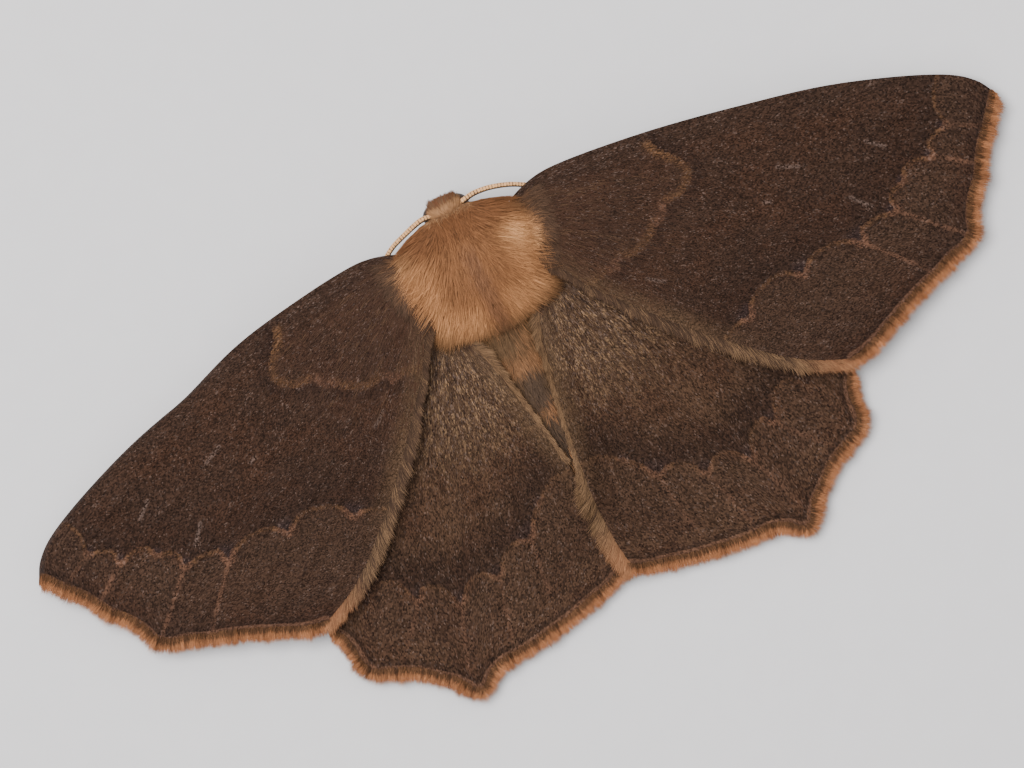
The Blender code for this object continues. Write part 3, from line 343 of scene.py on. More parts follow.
class MothStageSettings(bpy.types.PropertyGroup):
    floor: colour_setting("Floor", "The plain ground", 233, 230, 231)
    light: FloatProperty(name="Light", description="Power of the soft light overhead", unit="POWER", min=0.0,
                         default=0.92)
    camera_height: size_setting("Camera height", "How far above the floor the camera stands", 260.0)


def setting(name):
    """What a user has set, whichever group holds it."""
    held = (getattr(bpy.context.scene, group) for group in SETTINGS)
    return next(getattr(group, name) for group in held if hasattr(group, name))


def length_of(name):
    """A named size in millimetres."""
    return setting(name) / MM


def hair_tint(name):
    """What hair reflects of a colour that is named by its look, each channel by itself."""
    return np.interp(np.array(setting(name)), SHOWN, REFLECTED)


def tint(name):
    """What scales or eyes reflect of a colour that is named by its look, which keeps its hue."""
    looks = np.array(setting(name))
    grey = looks @ LUMINANCE
    reflected = np.interp(grey, SHOWN, REFLECTED)
    return looks * reflected / grey * (1.0 - GREYING) + reflected * GREYING


def smoothstep(low, high, value):
    share = np.clip((value - low) / (high - low), 0.0, 1.0)
    return share * share * (3.0 - 2.0 * share)


def spline(points, steps=10):
    """A Catmull-Rom curve through the points."""
    p = np.array(points, float)
    p = np.vstack([2 * p[0] - p[1], p, 2 * p[-1] - p[-2]])
    t = (np.arange(steps) / steps)[None, :, None]
    a, b, c, d = (part[:, None, :] for part in (p[:-3], p[1:-2], p[2:-1], p[3:]))
    curve = 0.5 * (2 * b + (c - a) * t + (2 * a - 5 * b + 4 * c - d) * t * t
                   + (3 * b - a - 3 * c + d) * t ** 3)
    return np.vstack([curve.reshape(-1, p.shape[1]), p[-2]])


def shares_of(curve):
    lengths = np.concatenate([[0.0], np.cumsum(np.linalg.norm(np.diff(curve, axis=0), axis=1))])
    return lengths / lengths[-1]


def along(curve, share):
    """Points at shares of a curve's length, for an array of shares."""
    shares = shares_of(curve)
    return np.stack([np.interp(share, shares, curve[:, axis]) for axis in range(curve.shape[1])], axis=-1)


def pushed(points, amount):
    """The points moved to the left of the way they run, from nothing at the first to the whole amount."""
    points = np.array(points, float)
    way = unit(np.gradient(points, axis=0))
    ramp = smoothstep(0.0, 0.15, np.linspace(0.0, 1.0, len(points)))[:, None]
    return points + amount * ramp * np.column_stack([way[:, 1], -way[:, 0]])


def unit(vectors):
    return vectors / np.maximum(np.linalg.norm(vectors, axis=-1, keepdims=True), 1e-12)


def pick(a, b, share):
    """Blend of two colours, or arrays of them, by an array of shares."""
    return np.asarray(a) * (1.0 - share[..., None]) + np.asarray(b) * share[..., None]


def thorax_side(back, high):
    used = np.abs((back - THORAX_CENTRE[1]) / THORAX_HALF[1]) ** THORAX_SQUARENESS
    used = used + abs((high - THORAX_CENTRE[2]) / THORAX_HALF[2]) ** THORAX_SQUARENESS
    return THORAX_HALF[0] * np.maximum(1.0 - used, 0.0) ** (1.0 / THORAX_SQUARENESS)


def above_abdomen(out, back):
    """Height of a roof over the abdomen that slopes down beside it and behind it."""
    share = np.clip((back - ABDOMEN_START) / (ABDOMEN_END - ABDOMEN_START), 0.0, 1.0)
    height = ABDOMEN_FRONT_HEIGHT + (ABDOMEN_REAR_HEIGHT - ABDOMEN_FRONT_HEIGHT) * share
    narrowing = np.maximum(share - ABDOMEN_STRAIGHT, 0.0) / (1.0 - ABDOMEN_STRAIGHT)
    half = np.maximum(ABDOMEN_HALF_WIDTH * np.sqrt(1.0 - narrowing ** 2.2), ABDOMEN_LEAST)
    bend = ABDOMEN_BEND
    inner = np.minimum(out / half, bend)
    slope = ABDOMEN_FLATNESS * bend / math.sqrt(1.0 - bend * bend)
    roof = height + ABDOMEN_FLATNESS * half * np.sqrt(1.0 - inner * inner)
    return roof - slope * np.maximum(out - bend * half, 0.0) - np.maximum(back - ABDOMEN_END, 0.0)


def forewing_height(out, back):
    reach = np.hypot(out / SPREAD[0], (back + 1.0) / SPREAD[1])
    rise = ROOT_RISE * np.maximum(1.0 - reach, 0.0) ** 1.1
    return MARGIN_HEIGHT + rise - TIP_DROOP * smoothstep(*TIP_OUT, out)


def hindwing_height(out, back, side):
    edge = np.interp(out, *np.transpose([TUCK_START, *FOREWING["inner"]]))
    tucked = smoothstep(0.0, TUCK_DEPTH, edge - back) * smoothstep(*TUCK_OUT, out)
    low = forewing_height(np.maximum(out, 0.0), back) - HINDWING_DROP + TUCK_LIFT * tucked
    over = above_abdomen(np.abs(out), back) + ABDOMEN_CLEARANCE
    height = ABDOMEN_DRAPE * np.logaddexp(low / ABDOMEN_DRAPE, over / ABDOMEN_DRAPE)
    if side == "right":
        height = height + OVERLAP_LIFT * smoothstep(*OVERLAP_OUT, out) * smoothstep(*OVERLAP_BACK, back)
    return height


class Wing:
    """One wing's surface: maps shares (root to margin, front to inner edge) to points and normals."""

    def __init__(self, name):
        self.name = name
        self.kind, self.side = name.split("_")
        self.data = WINGS[self.kind]
        self.sign = SIDES[self.side]
        self.vein_ends = np.array([0.0, *[share for share, _ in self.data["veins"]], 1.0])
        front, margin = self.data["front"], self.data["margin"]
        root_back = np.linspace(*self.data["root"], 6)
        self.root = np.column_stack([thorax_side(root_back, self.data["root_height"]), root_back])
        reach = MARGIN_REACH[self.kind]
        beyond = pushed([front[-1], *margin], reach)
        inner = pushed([self.root[-1], *self.data["inner"], margin[-1]], -reach * (self.kind == "forewing"))
        beyond[0] = front[-1]
        inner[-1] = beyond[-1]
        self.front, self.margin, self.inner = spline([self.root[0], *front]), spline(beyond), spline(inner)
        if name == "hindwing_left":
            share = shares_of(self.inner)
            self.inner[:, 0] += LEFT_INNER_TRIM * smoothstep(0.58, 0.7, share) * smoothstep(1.0, 0.97, share)

    def plan(self, s, t):
        s, t = np.broadcast_arrays(np.asarray(s, float), np.asarray(t, float))
        s1, t1 = s[..., None], t[..., None]
        across = (1 - t1) * along(self.front, s) + t1 * along(self.inner, s)
        lengthwise = (1 - s1) * along(self.root, t) + s1 * along(self.margin, t)
        corners = ((1 - s1) * (1 - t1) * self.front[0] + s1 * (1 - t1) * self.front[-1]
                   + (1 - s1) * t1 * self.inner[0] + s1 * t1 * self.inner[-1])
        return across + lengthwise - corners

    def height(self, out, back):
        if self.kind == "forewing":
            return forewing_height(out, back)
        return hindwing_height(out, back, self.side)

    def relief(self, s, t):
        """Veins raised and the membrane pleated between them."""
        width = length_of("vein_width") / (16.0 * np.maximum(s, 0.15))
        gap = np.min(np.abs(t[..., None] - self.vein_ends), axis=-1)
        pleat = -length_of("pleat") * smoothstep(0.0, 0.05, gap) * smoothstep(0.25, 0.8, s)
        bump = np.zeros(np.shape(t))
        for share, start in self.data["veins"]:
            ridge = np.exp(-((t - share) / width) ** 2) * smoothstep(start - 0.1, start + 0.05, s)
            bump = np.maximum(bump, ridge)
        return MEMBRANE_LIFT + length_of("vein_relief") * bump + pleat

    def points(self, s, t, lift=0.0):
        """Points in the moth's frame (x, back, height) on the wing's upper face."""
        place = self.plan(s, t)
        out, back = place[..., 0], place[..., 1]
        height = self.height(out, back)
        if self.kind == "forewing":
            from_front = place - self.plan(s, np.zeros(np.shape(s)))
            inside = np.maximum(COSTA_ROLL_WIDTH - np.hypot(from_front[..., 0], from_front[..., 1]), 0.0)
            angle = COSTA_ROLL[self.side] * smoothstep(9.0, 15.0, out) * inside / COSTA_ROLL_WIDTH
            height = height - inside * np.sin(angle)
            back = back + inside * (1.0 - np.cos(angle))
        height = height + self.relief(s, t) + lift
        return np.stack([out * REACH[self.name] * self.sign, back, height], axis=-1)

    def frame_at(self, s, t, step=0.004):
        """Points with unit vectors to the margin, to the inner edge and up."""
        s, t = np.broadcast_arrays(np.asarray(s, float), np.asarray(t, float))
        further, nearer = np.minimum(s + step, 1.0), np.maximum(s - step, 0.0)
        to_margin = unit(self.points(further, t) - self.points(nearer, t))
        further, nearer = np.minimum(t + step, 1.0), np.maximum(t - step, 0.0)
        to_inner = unit(self.points(s, further) - self.points(s, nearer))
        up = np.cross(to_margin, to_inner)
        up = unit(up * np.sign(up[..., 2:3]))
        return self.points(s, t), to_margin, to_inner, up


def line_distance(places, curve):
    """Distance in the flat from each place to a line."""
    curve = np.asarray(curve, float)
    best = np.full(len(places), 99.0)
    for origin, step in zip(curve[:-1], np.diff(curve, axis=0)):
        offset = places - origin
        share = np.clip(offset @ step / max(step @ step, 1e-9), 0.0, 1.0)
        best = np.minimum(best, np.hypot(*(offset - share[:, None] * step).T))
    return best


def signed_distance(places, curve, corners):
    """The same, but negative on the near side of a line that the far corners close into a ring."""
    ring = np.vstack([curve, corners])
    beyond = np.zeros(len(places), bool)
    for first, second in zip(ring, np.roll(ring, -1, axis=0)):
        crossing = (first[1] > places[:, 1]) != (second[1] > places[:, 1])
        height = np.where(second[1] == first[1], 1.0, second[1] - first[1])
        cut = first[0] + (places[:, 1] - first[1]) * (second[0] - first[0]) / height
        beyond ^= crossing & (places[:, 0] < cut)
    return line_distance(places, curve) * np.where(beyond, 1.0, -1.0)


class Graph:
    """Short calls that lay out one material's or one group's nodes."""

    def __init__(self, tree):
        self.tree = tree
        tree.nodes.clear()

    def put(self, socket, value):
        if isinstance(value, bpy.types.NodeSocket):
            self.tree.links.new(value, socket)
        elif socket.type == "RGBA":
            socket.default_value = (*value[:3], 1.0)
        else:
            socket.default_value = value

    def node(self, kind, inputs=None, **settings):
        made = self.tree.nodes.new(kind)
        for name, value in settings.items():
            setattr(made, name, value)
        for name, value in (inputs or {}).items():
            self.put(made.inputs[name], value)
        return made

    def math(self, operation, a, b, clamp=False):
        return self.node("ShaderNodeMath", {0: a, 1: b}, operation=operation, use_clamp=clamp).outputs[0]

    def minus(self, a, b):
        return self.math("SUBTRACT", a, b)

    def plus(self, a, b):
        return self.math("ADD", a, b)

    def over(self, a, b):
        return self.math("DIVIDE", a, b)

    def times(self, first, *others):
        for other in others:
            first = self.math("MULTIPLY", first, other)
        return first

    def scaled(self, value, factor, least):
        """A value times a factor, plus the least that it can be."""
        return self.plus(self.times(value, factor), least)

    def mask(self, value, low, high):
        """0 on low's side and 1 on high's side, with a soft step between."""
        return self.node("ShaderNodeMapRange", {"Value": value, "From Min": low, "From Max": high},
                         interpolation_type="SMOOTHSTEP").outputs[0]

    def mix(self, share, a, b, blend="MIX"):
        made = self.node("ShaderNodeMix", {0: share, 6: a, 7: b}, data_type="RGBA", blend_type=blend)
        return made.outputs[2]

    def toned(self, colour, bright):
        """A colour times one brightness for its three channels."""
        tone = self.node("ShaderNodeCombineXYZ", {0: bright, 1: bright, 2: bright}).outputs[0]
        return self.mix(1.0, colour, tone, "MULTIPLY")

    def attribute(self, name, output="Fac"):
        return self.node("ShaderNodeAttribute", attribute_name=name).outputs[output]

    def parts(self, vector):
        """The three numbers of a vector."""
        return list(self.node("ShaderNodeSeparateXYZ", {0: vector}).outputs)

    def place(self):
        """Where on the piece each point lies, in metres."""
        return self.node("ShaderNodeTexCoord").outputs["Object"]

    def noise(self, vector, scale, detail=2.0, roughness=0.5):
        return self.node("ShaderNodeTexNoise", {"Vector": vector, "Scale": scale, "Detail": detail,
                                                "Roughness": roughness}).outputs[0]


class Finish(Graph):
    """A new material's graph, with a Principled shader whose plain sockets are set."""

    def __init__(self, name, roughness, gloss):
        self.material = bpy.data.materials.new(name)
        self.material.use_nodes = True
        super().__init__(self.material.node_tree)
        slots = {"Roughness": roughness, "Specular IOR Level": gloss}
        self.shader = self.node("ShaderNodeBsdfPrincipled", slots)
        self.node("ShaderNodeOutputMaterial", {0: self.shader.outputs[0]})

    def done(self, colour, height=None, strength=1.0, depth=0.0):
        """Joins a colour to the shader, and a relief of a depth in millimetres; returns the material."""
        self.put(self.shader.inputs["Base Color"], colour)
        if height is not None:
            slots = {"Height": height, "Strength": strength, "Distance": depth * MM}
            self.put(self.shader.inputs["Normal"], self.node("ShaderNodeBump", slots).outputs[0])
        return self.material


def grain_group():
    """Scales in a mosaic: their height, an even tone for each, and masks of the pale and the dark ones."""
    name = "Scale mosaic"
    if name in bpy.data.node_groups:
        return bpy.data.node_groups[name]
    tree = bpy.data.node_groups.new(name, "ShaderNodeTree")
    for label in MOSAIC_INPUTS:
        kind = "NodeSocketVector" if label == "Place" else "NodeSocketFloat"
        tree.interface.new_socket(label, in_out="INPUT", socket_type=kind)
    for label in MOSAIC_OUTPUTS:
        tree.interface.new_socket(label, in_out="OUTPUT", socket_type="NodeSocketFloat")
    graph = Graph(tree)
    minus, times = graph.minus, graph.times
    given = graph.node("NodeGroupInput").outputs
    lengthwise, crosswise, _ = graph.parts(given["Place"])
    lengthwise = graph.over(lengthwise, times(given["Size"], given["Stretch"]))
    crosswise = graph.over(crosswise, given["Size"])
    place = graph.node("ShaderNodeCombineXYZ", {0: lengthwise, 1: crosswise}).outputs[0]
    cells = graph.node("ShaderNodeTexVoronoi", {"Vector": place, "Scale": 1.0, "Randomness": 0.85},
                       voronoi_dimensions="2D").outputs
    draw = graph.node("ShaderNodeSeparateColor", {0: cells["Color"]}).outputs
    lift = times(minus(graph.noise(place, 0.12, 3.0), 0.5), 0.9)
    pale = minus(draw[0], minus(minus(1.0, given["Pale share"]), lift))
    dark = minus(minus(given["Dark share"], lift), draw[1])
    pale, dark = (graph.math("MULTIPLY", value, SCALE_SHARPNESS, True) for value in (pale, dark))
    height = graph.plus(times(minus(1.0, cells["Distance"]), 0.7), times(draw[2], 0.6))
    graph.node("NodeGroupOutput", dict(zip(MOSAIC_OUTPUTS, (draw[2], pale, dark, height))))
    return tree


def scales(graph, *values):
    """The scale mosaic placed in a material with its own values; returns its four outputs."""
    made = graph.node("ShaderNodeGroup", node_tree=grain_group())
    for label, value in zip(MOSAIC_INPUTS, values):
        graph.put(made.inputs[label], value)
    return [made.outputs[label] for label in MOSAIC_OUTPUTS]


def wing_material(kind):
    """Scaled wing: dark ground, the two scalloped lines, pale cusps and a mosaic of single scales."""
    graph = Finish(f"{kind.capitalize()} scales", 0.75, 0.06)
    mask, times, scaled, noise = graph.mask, graph.times, graph.scaled, graph.noise
    look = WINGS[kind]["look"]
    place = graph.attribute("Place", "Vector")
    (inner, outer, vein), (costa, hem, margin), (cusp, dash, base) = (
        graph.parts(graph.attribute(name, "Vector")) for name in ("Lines", "Edges", "Spots"))
    size = length_of("grain")
    peppered = mask(base, 0.6, 0.12)
    pale_share = scaled(peppered, look["pale_base"], 0.10)
    tone, pale, dark, height = scales(graph, place, size, 1.5, pale_share, 0.22)
    patches = noise(place, 0.45, 3.0, 0.55)
    drawn_out = graph.node("ShaderNodeVectorMath", {0: place, 1: RAY_STRETCH}, operation="MULTIPLY")
    rays = noise(drawn_out.outputs[0], 1.0, 3.0, 0.6)
    ragged = times(graph.minus(noise(place, 6.0, 3.0, 0.65), 0.5), 0.5)
    inner = graph.plus(inner, ragged)
    outer = graph.plus(outer, times(ragged, 0.5))
    ground = graph.mix(times(mask(patches, 0.38, 0.62), 0.6), tint(kind), tint("warm"))

    def lay(colour, *shares):
        """Lays a colour over the ground as strongly as the shares' product."""
        nonlocal ground
        ground = graph.mix(times(*shares), ground, tint(colour) if isinstance(colour, str) else colour)

    if kind == "forewing":
        lay("grey", mask(costa, 1.7, 0.3), 0.6, patches)
    else:
        coarse = scales(graph, place, size * 1.8, 2.2, 0.4, 0.34)
        lay("hair", peppered, 0.4)
        lay("speck", peppered, coarse[1])
        lay("dark", peppered, coarse[2])

    # The outer line: a dark shade before it, a fine pale edge that is pinkest in its cusps, and paler
    # scales beyond
    before_line = mask(outer, 0.05, -0.05)
    lay("dark", mask(outer, -2.6, -0.1), mask(outer, 0.08, -0.05), look["shade"])
    lay("bloom", mask(outer, -0.75, -0.12), before_line, mask(cusp, 0.15, 0.8), look["bloom"])
    lay("beyond", mask(outer, 0.05, 0.5), mask(margin, 0.2, 2.2), look["beyond"])
    width = scaled(cusp, 0.15, look["line_width"])
    line = times(mask(outer, -0.06, 0.04), mask(graph.over(outer, width), 1.0, 0.45))
    line_colour = graph.mix(mask(cusp, 0.3, 0.8), tint("ochre"), tint("pink"))
    strength = scaled(mask(cusp, 0.1, 0.7), 0.28, look["line"])
    worn = scaled(mask(noise(place, 2.6), 0.4, 0.6), 0.5, 0.5)
    lay(line_colour, line, times(strength, worn))

    # The inner line: a soft ochre band, brightest by the front edge, with a dark edge beyond it
    costal = times(scaled(mask(costa, 2.0, 0.8), 0.28, 0.38), mask(costa, 0.25, 0.6))
    lay(line_colour, mask(inner, -0.5, -0.15), mask(inner, 0.08, -0.05), costal)
    lay("dark", mask(inner, 0.0, 0.12), mask(inner, 0.8, 0.2), 0.5)

    # Single scales, pale dust on the veins, the short pale dashes and the dark line inside the fringe
    lay("dark", dark, 0.7)
    lay("pale", pale, scaled(peppered, 0.22, 0.26))
    dusty = mask(noise(place, 0.9), 0.25, 0.5)
    lay("pink", mask(vein, 0.14, 0.05), mask(tone, -0.4, 0.6), dusty, look["veins"])
    lay("pale", mask(dash, 0.13, 0.03), mask(tone, 0.0, 0.7), 0.38)
    lay("dark", mask(margin, 0.7, 0.4), mask(margin, 0.28, 0.36), 0.4)
    lay("pink", mask(margin, 0.36, 0.28), mask(margin, 0.12, 0.2), 0.4)
    lay("hair", mask(hem, 1.1, 0.1), mask(base, 0.8, 0.45), 0.45)
    drifting = graph.plus(times(patches, 0.2), times(rays, look["rays"]))
    bright = times(scaled(tone, 1.05, 0.4), graph.plus(drifting, look["least"]))
    return graph.done(graph.toned(ground, bright), height, 0.55, 0.03)


def coat_material(name, roughness=0.6):
    """Tufts take their own colours, with single hairs drawn along each as fine lines."""
    graph = Finish(name, roughness, 0.08)
    fine = graph.noise(graph.place(), HAIR_FINENESS)
    colour = graph.toned(graph.attribute("Coat", "Color"), graph.scaled(fine, 0.5, 0.75))
    return graph.done(colour, fine, 0.4, 0.02)


def limb_material(name, pale, dark, depth):
    """Scales on a feeler or leg, ringed by the length attribute."""
    graph = Finish(name, 0.62, 0.15)
    fine = graph.noise(graph.place(), LIMB_FINENESS)
    ring = graph.mask(graph.plus(graph.attribute("Ring"), graph.times(fine, 0.4)), 0.62, 0.8)
    colour = graph.mix(ring, hair_tint(dark), hair_tint(pale))
    return graph.done(graph.toned(colour, graph.scaled(fine, 0.7, 0.65)), fine, 0.5, depth)


def eye_material():
    """A dark, glossy eye of many small facets."""
    graph = Finish("Eye gloss", 0.42, 0.1)
    place = graph.place()
    facets = graph.node("ShaderNodeTexVoronoi", {"Vector": place, "Scale": FACETS, "Randomness": 0.15})
    eye = tint("eye")
    colour = graph.mix(graph.mask(graph.noise(place, EYE_MOTTLING), 0.4, 0.65), eye, eye * 2.2)
    return graph.done(colour, facets.outputs["Distance"], 0.35, 0.012)


def placed(points):
    """From the moth's millimetres to the part's own place in metres."""
    moved = np.array(points, float)
    moved[..., 1] -= THORAX_FORWARD
    return moved * MM


def added(name, data):
    """A new object in the scene."""
    made = bpy.data.objects.new(name, data)
    bpy.context.scene.collection.objects.link(made)
    return made


def mirrored(points, side):
    """Points of the left side's route, or their mirror image on the right side."""
    return np.array(points, float) * (SIDES[side], 1, 1)


def finish_piece(piece, material, replaced=()):
    piece.data.materials.clear()
    piece.data.materials.append(material)
    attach(piece, "root")
    if replaced:
        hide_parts(*replaced)
    return piece


def new_piece(name, points, quads, triangles, attributes=None, bake_map=None):
    """A mesh too fine to model by hand, made from its points (in millimetres) and faces."""
    mesh = bpy.data.meshes.new(name)
    mesh.vertices.add(len(points))
    mesh.vertices.foreach_set("co", placed(points).astype(np.float32).ravel())
    corners = np.concatenate([quads.ravel(), triangles.ravel()]).astype(np.int32)
    mesh.loops.add(len(corners))
    mesh.loops.foreach_set("vertex_index", corners)
    starts = np.concatenate([np.arange(len(quads)) * 4, len(quads) * 4 + np.arange(len(triangles)) * 3])
    mesh.polygons.add(len(starts))
    mesh.polygons.foreach_set("loop_start", starts.astype(np.int32))
    mesh.update(calc_edges=True)
    mesh.shade_smooth()
    for label, values in (attributes or {}).items():
        kind, field = ("FLOAT_COLOR", "color") if values.shape[1] == 4 else ("FLOAT_VECTOR", "vector")
        made = mesh.attributes.new(label, kind, "POINT")
        made.data.foreach_set(field, values.astype(np.float32).ravel())
    if bake_map is not None:
        layer = mesh.uv_layers.new(name="OFBake")
        layer.data.foreach_set("uv", bake_map[corners].astype(np.float32).ravel())
    return added(name, mesh)


def scalloped(arcs):
    """One line through arcs that meet in sharp cusps."""
    return np.vstack([spline(arc, 5) for arc in arcs])


def nearest(plan, pairs):
    """Distance in the flat from each place to the nearest of some short lines, and no more than far away."""
    return np.min([np.full(len(plan), FAR_AWAY), *[line_distance(plan, pair) for pair in pairs]], axis=0)


def build_wing(name):
    """A thin closed sheet on the wing's own surface, with its veins, pleats and markings."""
    wing = Wing(name)
    data = wing.data
    rows, columns = data["grid"]
    s, t = np.meshgrid(np.linspace(0.0, 1.0, rows), np.linspace(0.0, 1.0, columns), indexing="ij")
    top = wing.points(s, t)
    under = top - (0.0, 0.0, length_of("membrane"))
    total = rows * columns
    index = np.arange(total).reshape(rows, columns)
    cells = np.stack([index[:-1, :-1], index[1:, :-1], index[1:, 1:], index[:-1, 1:]], axis=-1).reshape(-1, 4)
    rim = np.concatenate([index[:-1, 0], index[-1, :-1], index[:0:-1, -1], index[0, :0:-1]])
    following = np.roll(rim, -1)
    wall = np.stack([following, rim, rim + total, following + total], axis=-1)
    quads = np.concatenate([cells, cells[:, ::-1] + total, wall])
    normal = np.cross(top[1, 0] - top[0, 0], top[0, 1] - top[0, 0])
    if normal[2] < 0:
        quads = quads[:, ::-1]
    plan = wing.plan(s, t).reshape(-1, 2)
    s, t = s.ravel(), t.ravel()
    lines = [signed_distance(plan, scalloped(data[line]), data["far_corners"])
             for line in ("inner_line", "outer_line")]
    cusps = [np.exp(-np.sum((plan - (out, back)) ** 2, axis=1) / (0.45 * reach ** 2))
             for out, back, reach in data["cusps"]]
    attributes = {
        "Lines": [*lines, nearest(plan, data["pale_veins"])],
        "Edges": [line_distance(plan, edge) for edge in (wing.front[::6], wing.inner[::6], wing.margin[::4])],
        "Spots": [np.max(cusps, axis=0), nearest(plan, data["dashes"]), s],
        "Place": [s * data["reach"], t * PATTERN_WIDTH, np.zeros(total)],
    }
    doubled = {label: np.tile(np.column_stack(values), (2, 1)) for label, values in attributes.items()}
    points = np.vstack([top.reshape(-1, 3), under.reshape(-1, 3)])
    return new_piece(f"{name}_scales", points, quads, np.zeros((0, 3), int), doubled)


def clumped(place, size, rng, count=4096):
    """Where each tuft's own clump lies from it, for clumps about this size apart in the flat."""
    cell = np.floor(place / size).astype(np.int64)
    key = (cell[:, 0] * HASH_PRIMES[0]) ^ (cell[:, 1] * HASH_PRIMES[1])
    jitter = rng.random((count, 2))[key % count]
    return (cell + 0.25 + 0.5 * jitter) * size - place


def tufts(name, roots, normal, lie, length, width, colours, root_map, stand, levels=2, limit=None):
    """Flat, tapered tufts. Each leaves its root along the normal and bends over to its lie.

    Colours hold one colour for each level from the root to the tip.
    """
    count = len(roots)
    stand, length, width = (np.broadcast_to(np.asarray(value, float), (count,))[:, None]
                            for value in (stand, length, width))
    shares = np.linspace(0.0, 1.0, levels + 1)
    widths = 1.0 - 0.55 * shares ** 1.5
    widths[0] = 0.8
    side = unit(np.cross(normal, lie))
    corners, facing = [], []
    for share, thickness in zip(shares, widths):
        rise = stand * (share - 0.45 * share * share)
        run = (1.0 - stand) * share + stand * share * share * 0.9
        middle = roots + length * (normal * rise + lie * run)
        if limit is not None:
            middle = limit(middle, share)
        if share == 1.0:
            corners.append(middle)
            facing.append(normal)
            break
        half = side * width * 0.5 * thickness
        corners += [middle - half, middle + half, middle + normal * width * 0.35 * thickness]
        facing += [normal - side * TUFT_ROUNDNESS, normal + side * TUFT_ROUNDNESS, normal]
    points = np.stack(corners, axis=1)
    facing = unit(np.stack(facing, axis=1))
    per_tuft = points.shape[1]
    first = (np.arange(count) * per_tuft)[:, None, None]
    rings = 3 * np.arange(levels - 1)[:, None, None]
    level_quads = (rings + np.array([[0, 1, 4, 3], [1, 2, 5, 4], [2, 0, 3, 5]])).reshape(-1, 4)
    tip = per_tuft - 4 + np.array([[0, 1, 3], [1, 2, 3], [2, 0, 3]])
    quads = (first + level_quads[None]).reshape(-1, 4)
    triangles = (first + np.vstack([tip, [0, 2, 1]])[None]).reshape(-1, 3)
    level_of = np.append(np.repeat(np.arange(levels), 3), levels)
    shade = np.concatenate([colours[:, level_of], np.ones((count, per_tuft, 1))], axis=-1)
    corner_map = np.append(np.tile(np.arange(3) / 2.0, levels), 0.5)
    patch = np.stack([corner_map, level_of / levels], axis=-1) - 0.5
    bake_map = np.clip(root_map, 0.005, 0.995)[:, None, :] + patch[None] * UV_PATCH
    attributes = {"Coat": shade.reshape(-1, 4), "custom_normal": facing.reshape(-1, 3)}
    return new_piece(name, points.reshape(-1, 3), quads, triangles, attributes, bake_map.reshape(-1, 2))


def shades(rng, base, root=0.7, tip=1.15, vary=0.14, levels=2):
    """Each tuft's colours from root to tip, with painted shade darkening the root, and a little unlike its
    neighbours'.

    The base holds one colour for each tuft, or one for each of its levels.
    """
    base = base[:, None, :] if base.ndim == 2 else base
    own = 1.0 + vary * rng.standard_normal((len(base), 1, 1))
    # Painted shade: each tuft darkens from its tip towards its root, deep in the coat
    steps = np.linspace(root, tip, levels + 1)[None, :, None]
    return np.clip(base * HAIR_GAIN * own * steps, 0.0, 1.0)


def colours_along(rng, roots, lie, length, root, tip, vary, ragged=0.12):
    """The body's markings at each level of each tuft, so that they stay in place however the hair lies."""
    roots = roots + ragged * rng.standard_normal(roots.shape)
    places = [roots + share * length[:, None] * lie for share in np.linspace(0.0, 0.95, 3)]
    return shades(rng, np.stack([body_colour(place) for place in places], axis=1), root, tip, vary)


def hindwing_edge(back):
    """How far out the hindwing's inner edge lies."""
    out, places = np.transpose(HINDWING["inner"])
    return np.interp(back, places, out)


def roof_beside(out, back):
    """Height of the forewing, or of the hindwing and the abdomen's hair behind its inner edge."""
    behind = smoothstep(-0.1, 0.5, back - np.interp(out, *np.transpose(FOREWING["inner"]), left=-0.2))
    high = forewing_height(out, back)
    low = np.minimum(high, hindwing_height(out, back, "left"))
    between = smoothstep(0.3, -0.1, out - hindwing_edge(back))
    low = low * (1.0 - between) + (above_abdomen(out, back) + 0.1) * between
    return high * (1.0 - behind) + low * behind + MEMBRANE_LIFT


def on_wings(points, share):
    """Lays the hair that reaches beyond the thorax down onto the wings."""
    out, back = np.abs(points[:, 0]), points[:, 1]
    roof = roof_beside(out, back) + 0.1 + 0.12 * share
    over = ((out > 1.9) & (back > -2.95)) | (back > 1.6)
    height = np.where(over, np.maximum(points[:, 2], roof), points[:, 2])
    far = smoothstep(0.95, 1.3, np.hypot(out / 2.5, (back + 0.15) / 2.35)) * share
    far = far * smoothstep(-2.9, -2.4, back)
    points = points.copy()
    points[:, 2] = height * (1.0 - far) + np.minimum(height, roof + 0.1) * far
    line = np.interp(out, *np.transpose(COLLAR_EDGE))
    points[:, 1] = np.where(back < line, line + 0.2 * (back - line), back)
    return points


BODY = spline(BODY_STATIONS, 8)


def body_point(share, angle):
    """A point of the skin, for shares from head to tail and angles up from the right side."""
    station = np.stack([np.interp(share * (len(BODY) - 1), np.arange(len(BODY)), BODY[:, axis])
                        for axis in range(4)], axis=-1)
    power = 2.0 / BODY_SQUARENESS
    out = station[..., 2] * np.sign(np.cos(angle)) * np.abs(np.cos(angle)) ** power
    up = station[..., 3] * np.sign(np.sin(angle)) * np.abs(np.sin(angle)) ** power
    return np.stack([out, station[..., 0], station[..., 1] + up], axis=-1)


def body_slope(share, angle, step=0.004, turn=0.03):
    """A vector out of the skin, as long as the skin's area is large there."""
    lengthwise = body_point(share + step, angle) - body_point(share - step, angle)
    return np.cross(lengthwise, body_point(share, angle + turn) - body_point(share, angle - turn))


def marked(colour, marks, measures):
    """A ground colour with the marks laid over it, each where all of its own steps are passed."""
    for name, share, *limits in marks:
        for measure, low, high in limits:
            share = share * smoothstep(low, high, measures[measure])
        colour = pick(colour, hair_tint(name), share)
    return colour


def patched(colour, name, out, back, patch):
    """A colour with a soft, round patch of a named one."""
    middle_out, middle_back, reach, strength = patch
    near = np.exp(-((out - middle_out) ** 2 + (back - middle_back) ** 2) / reach ** 2)
    return pick(colour, hair_tint(name), near * strength)


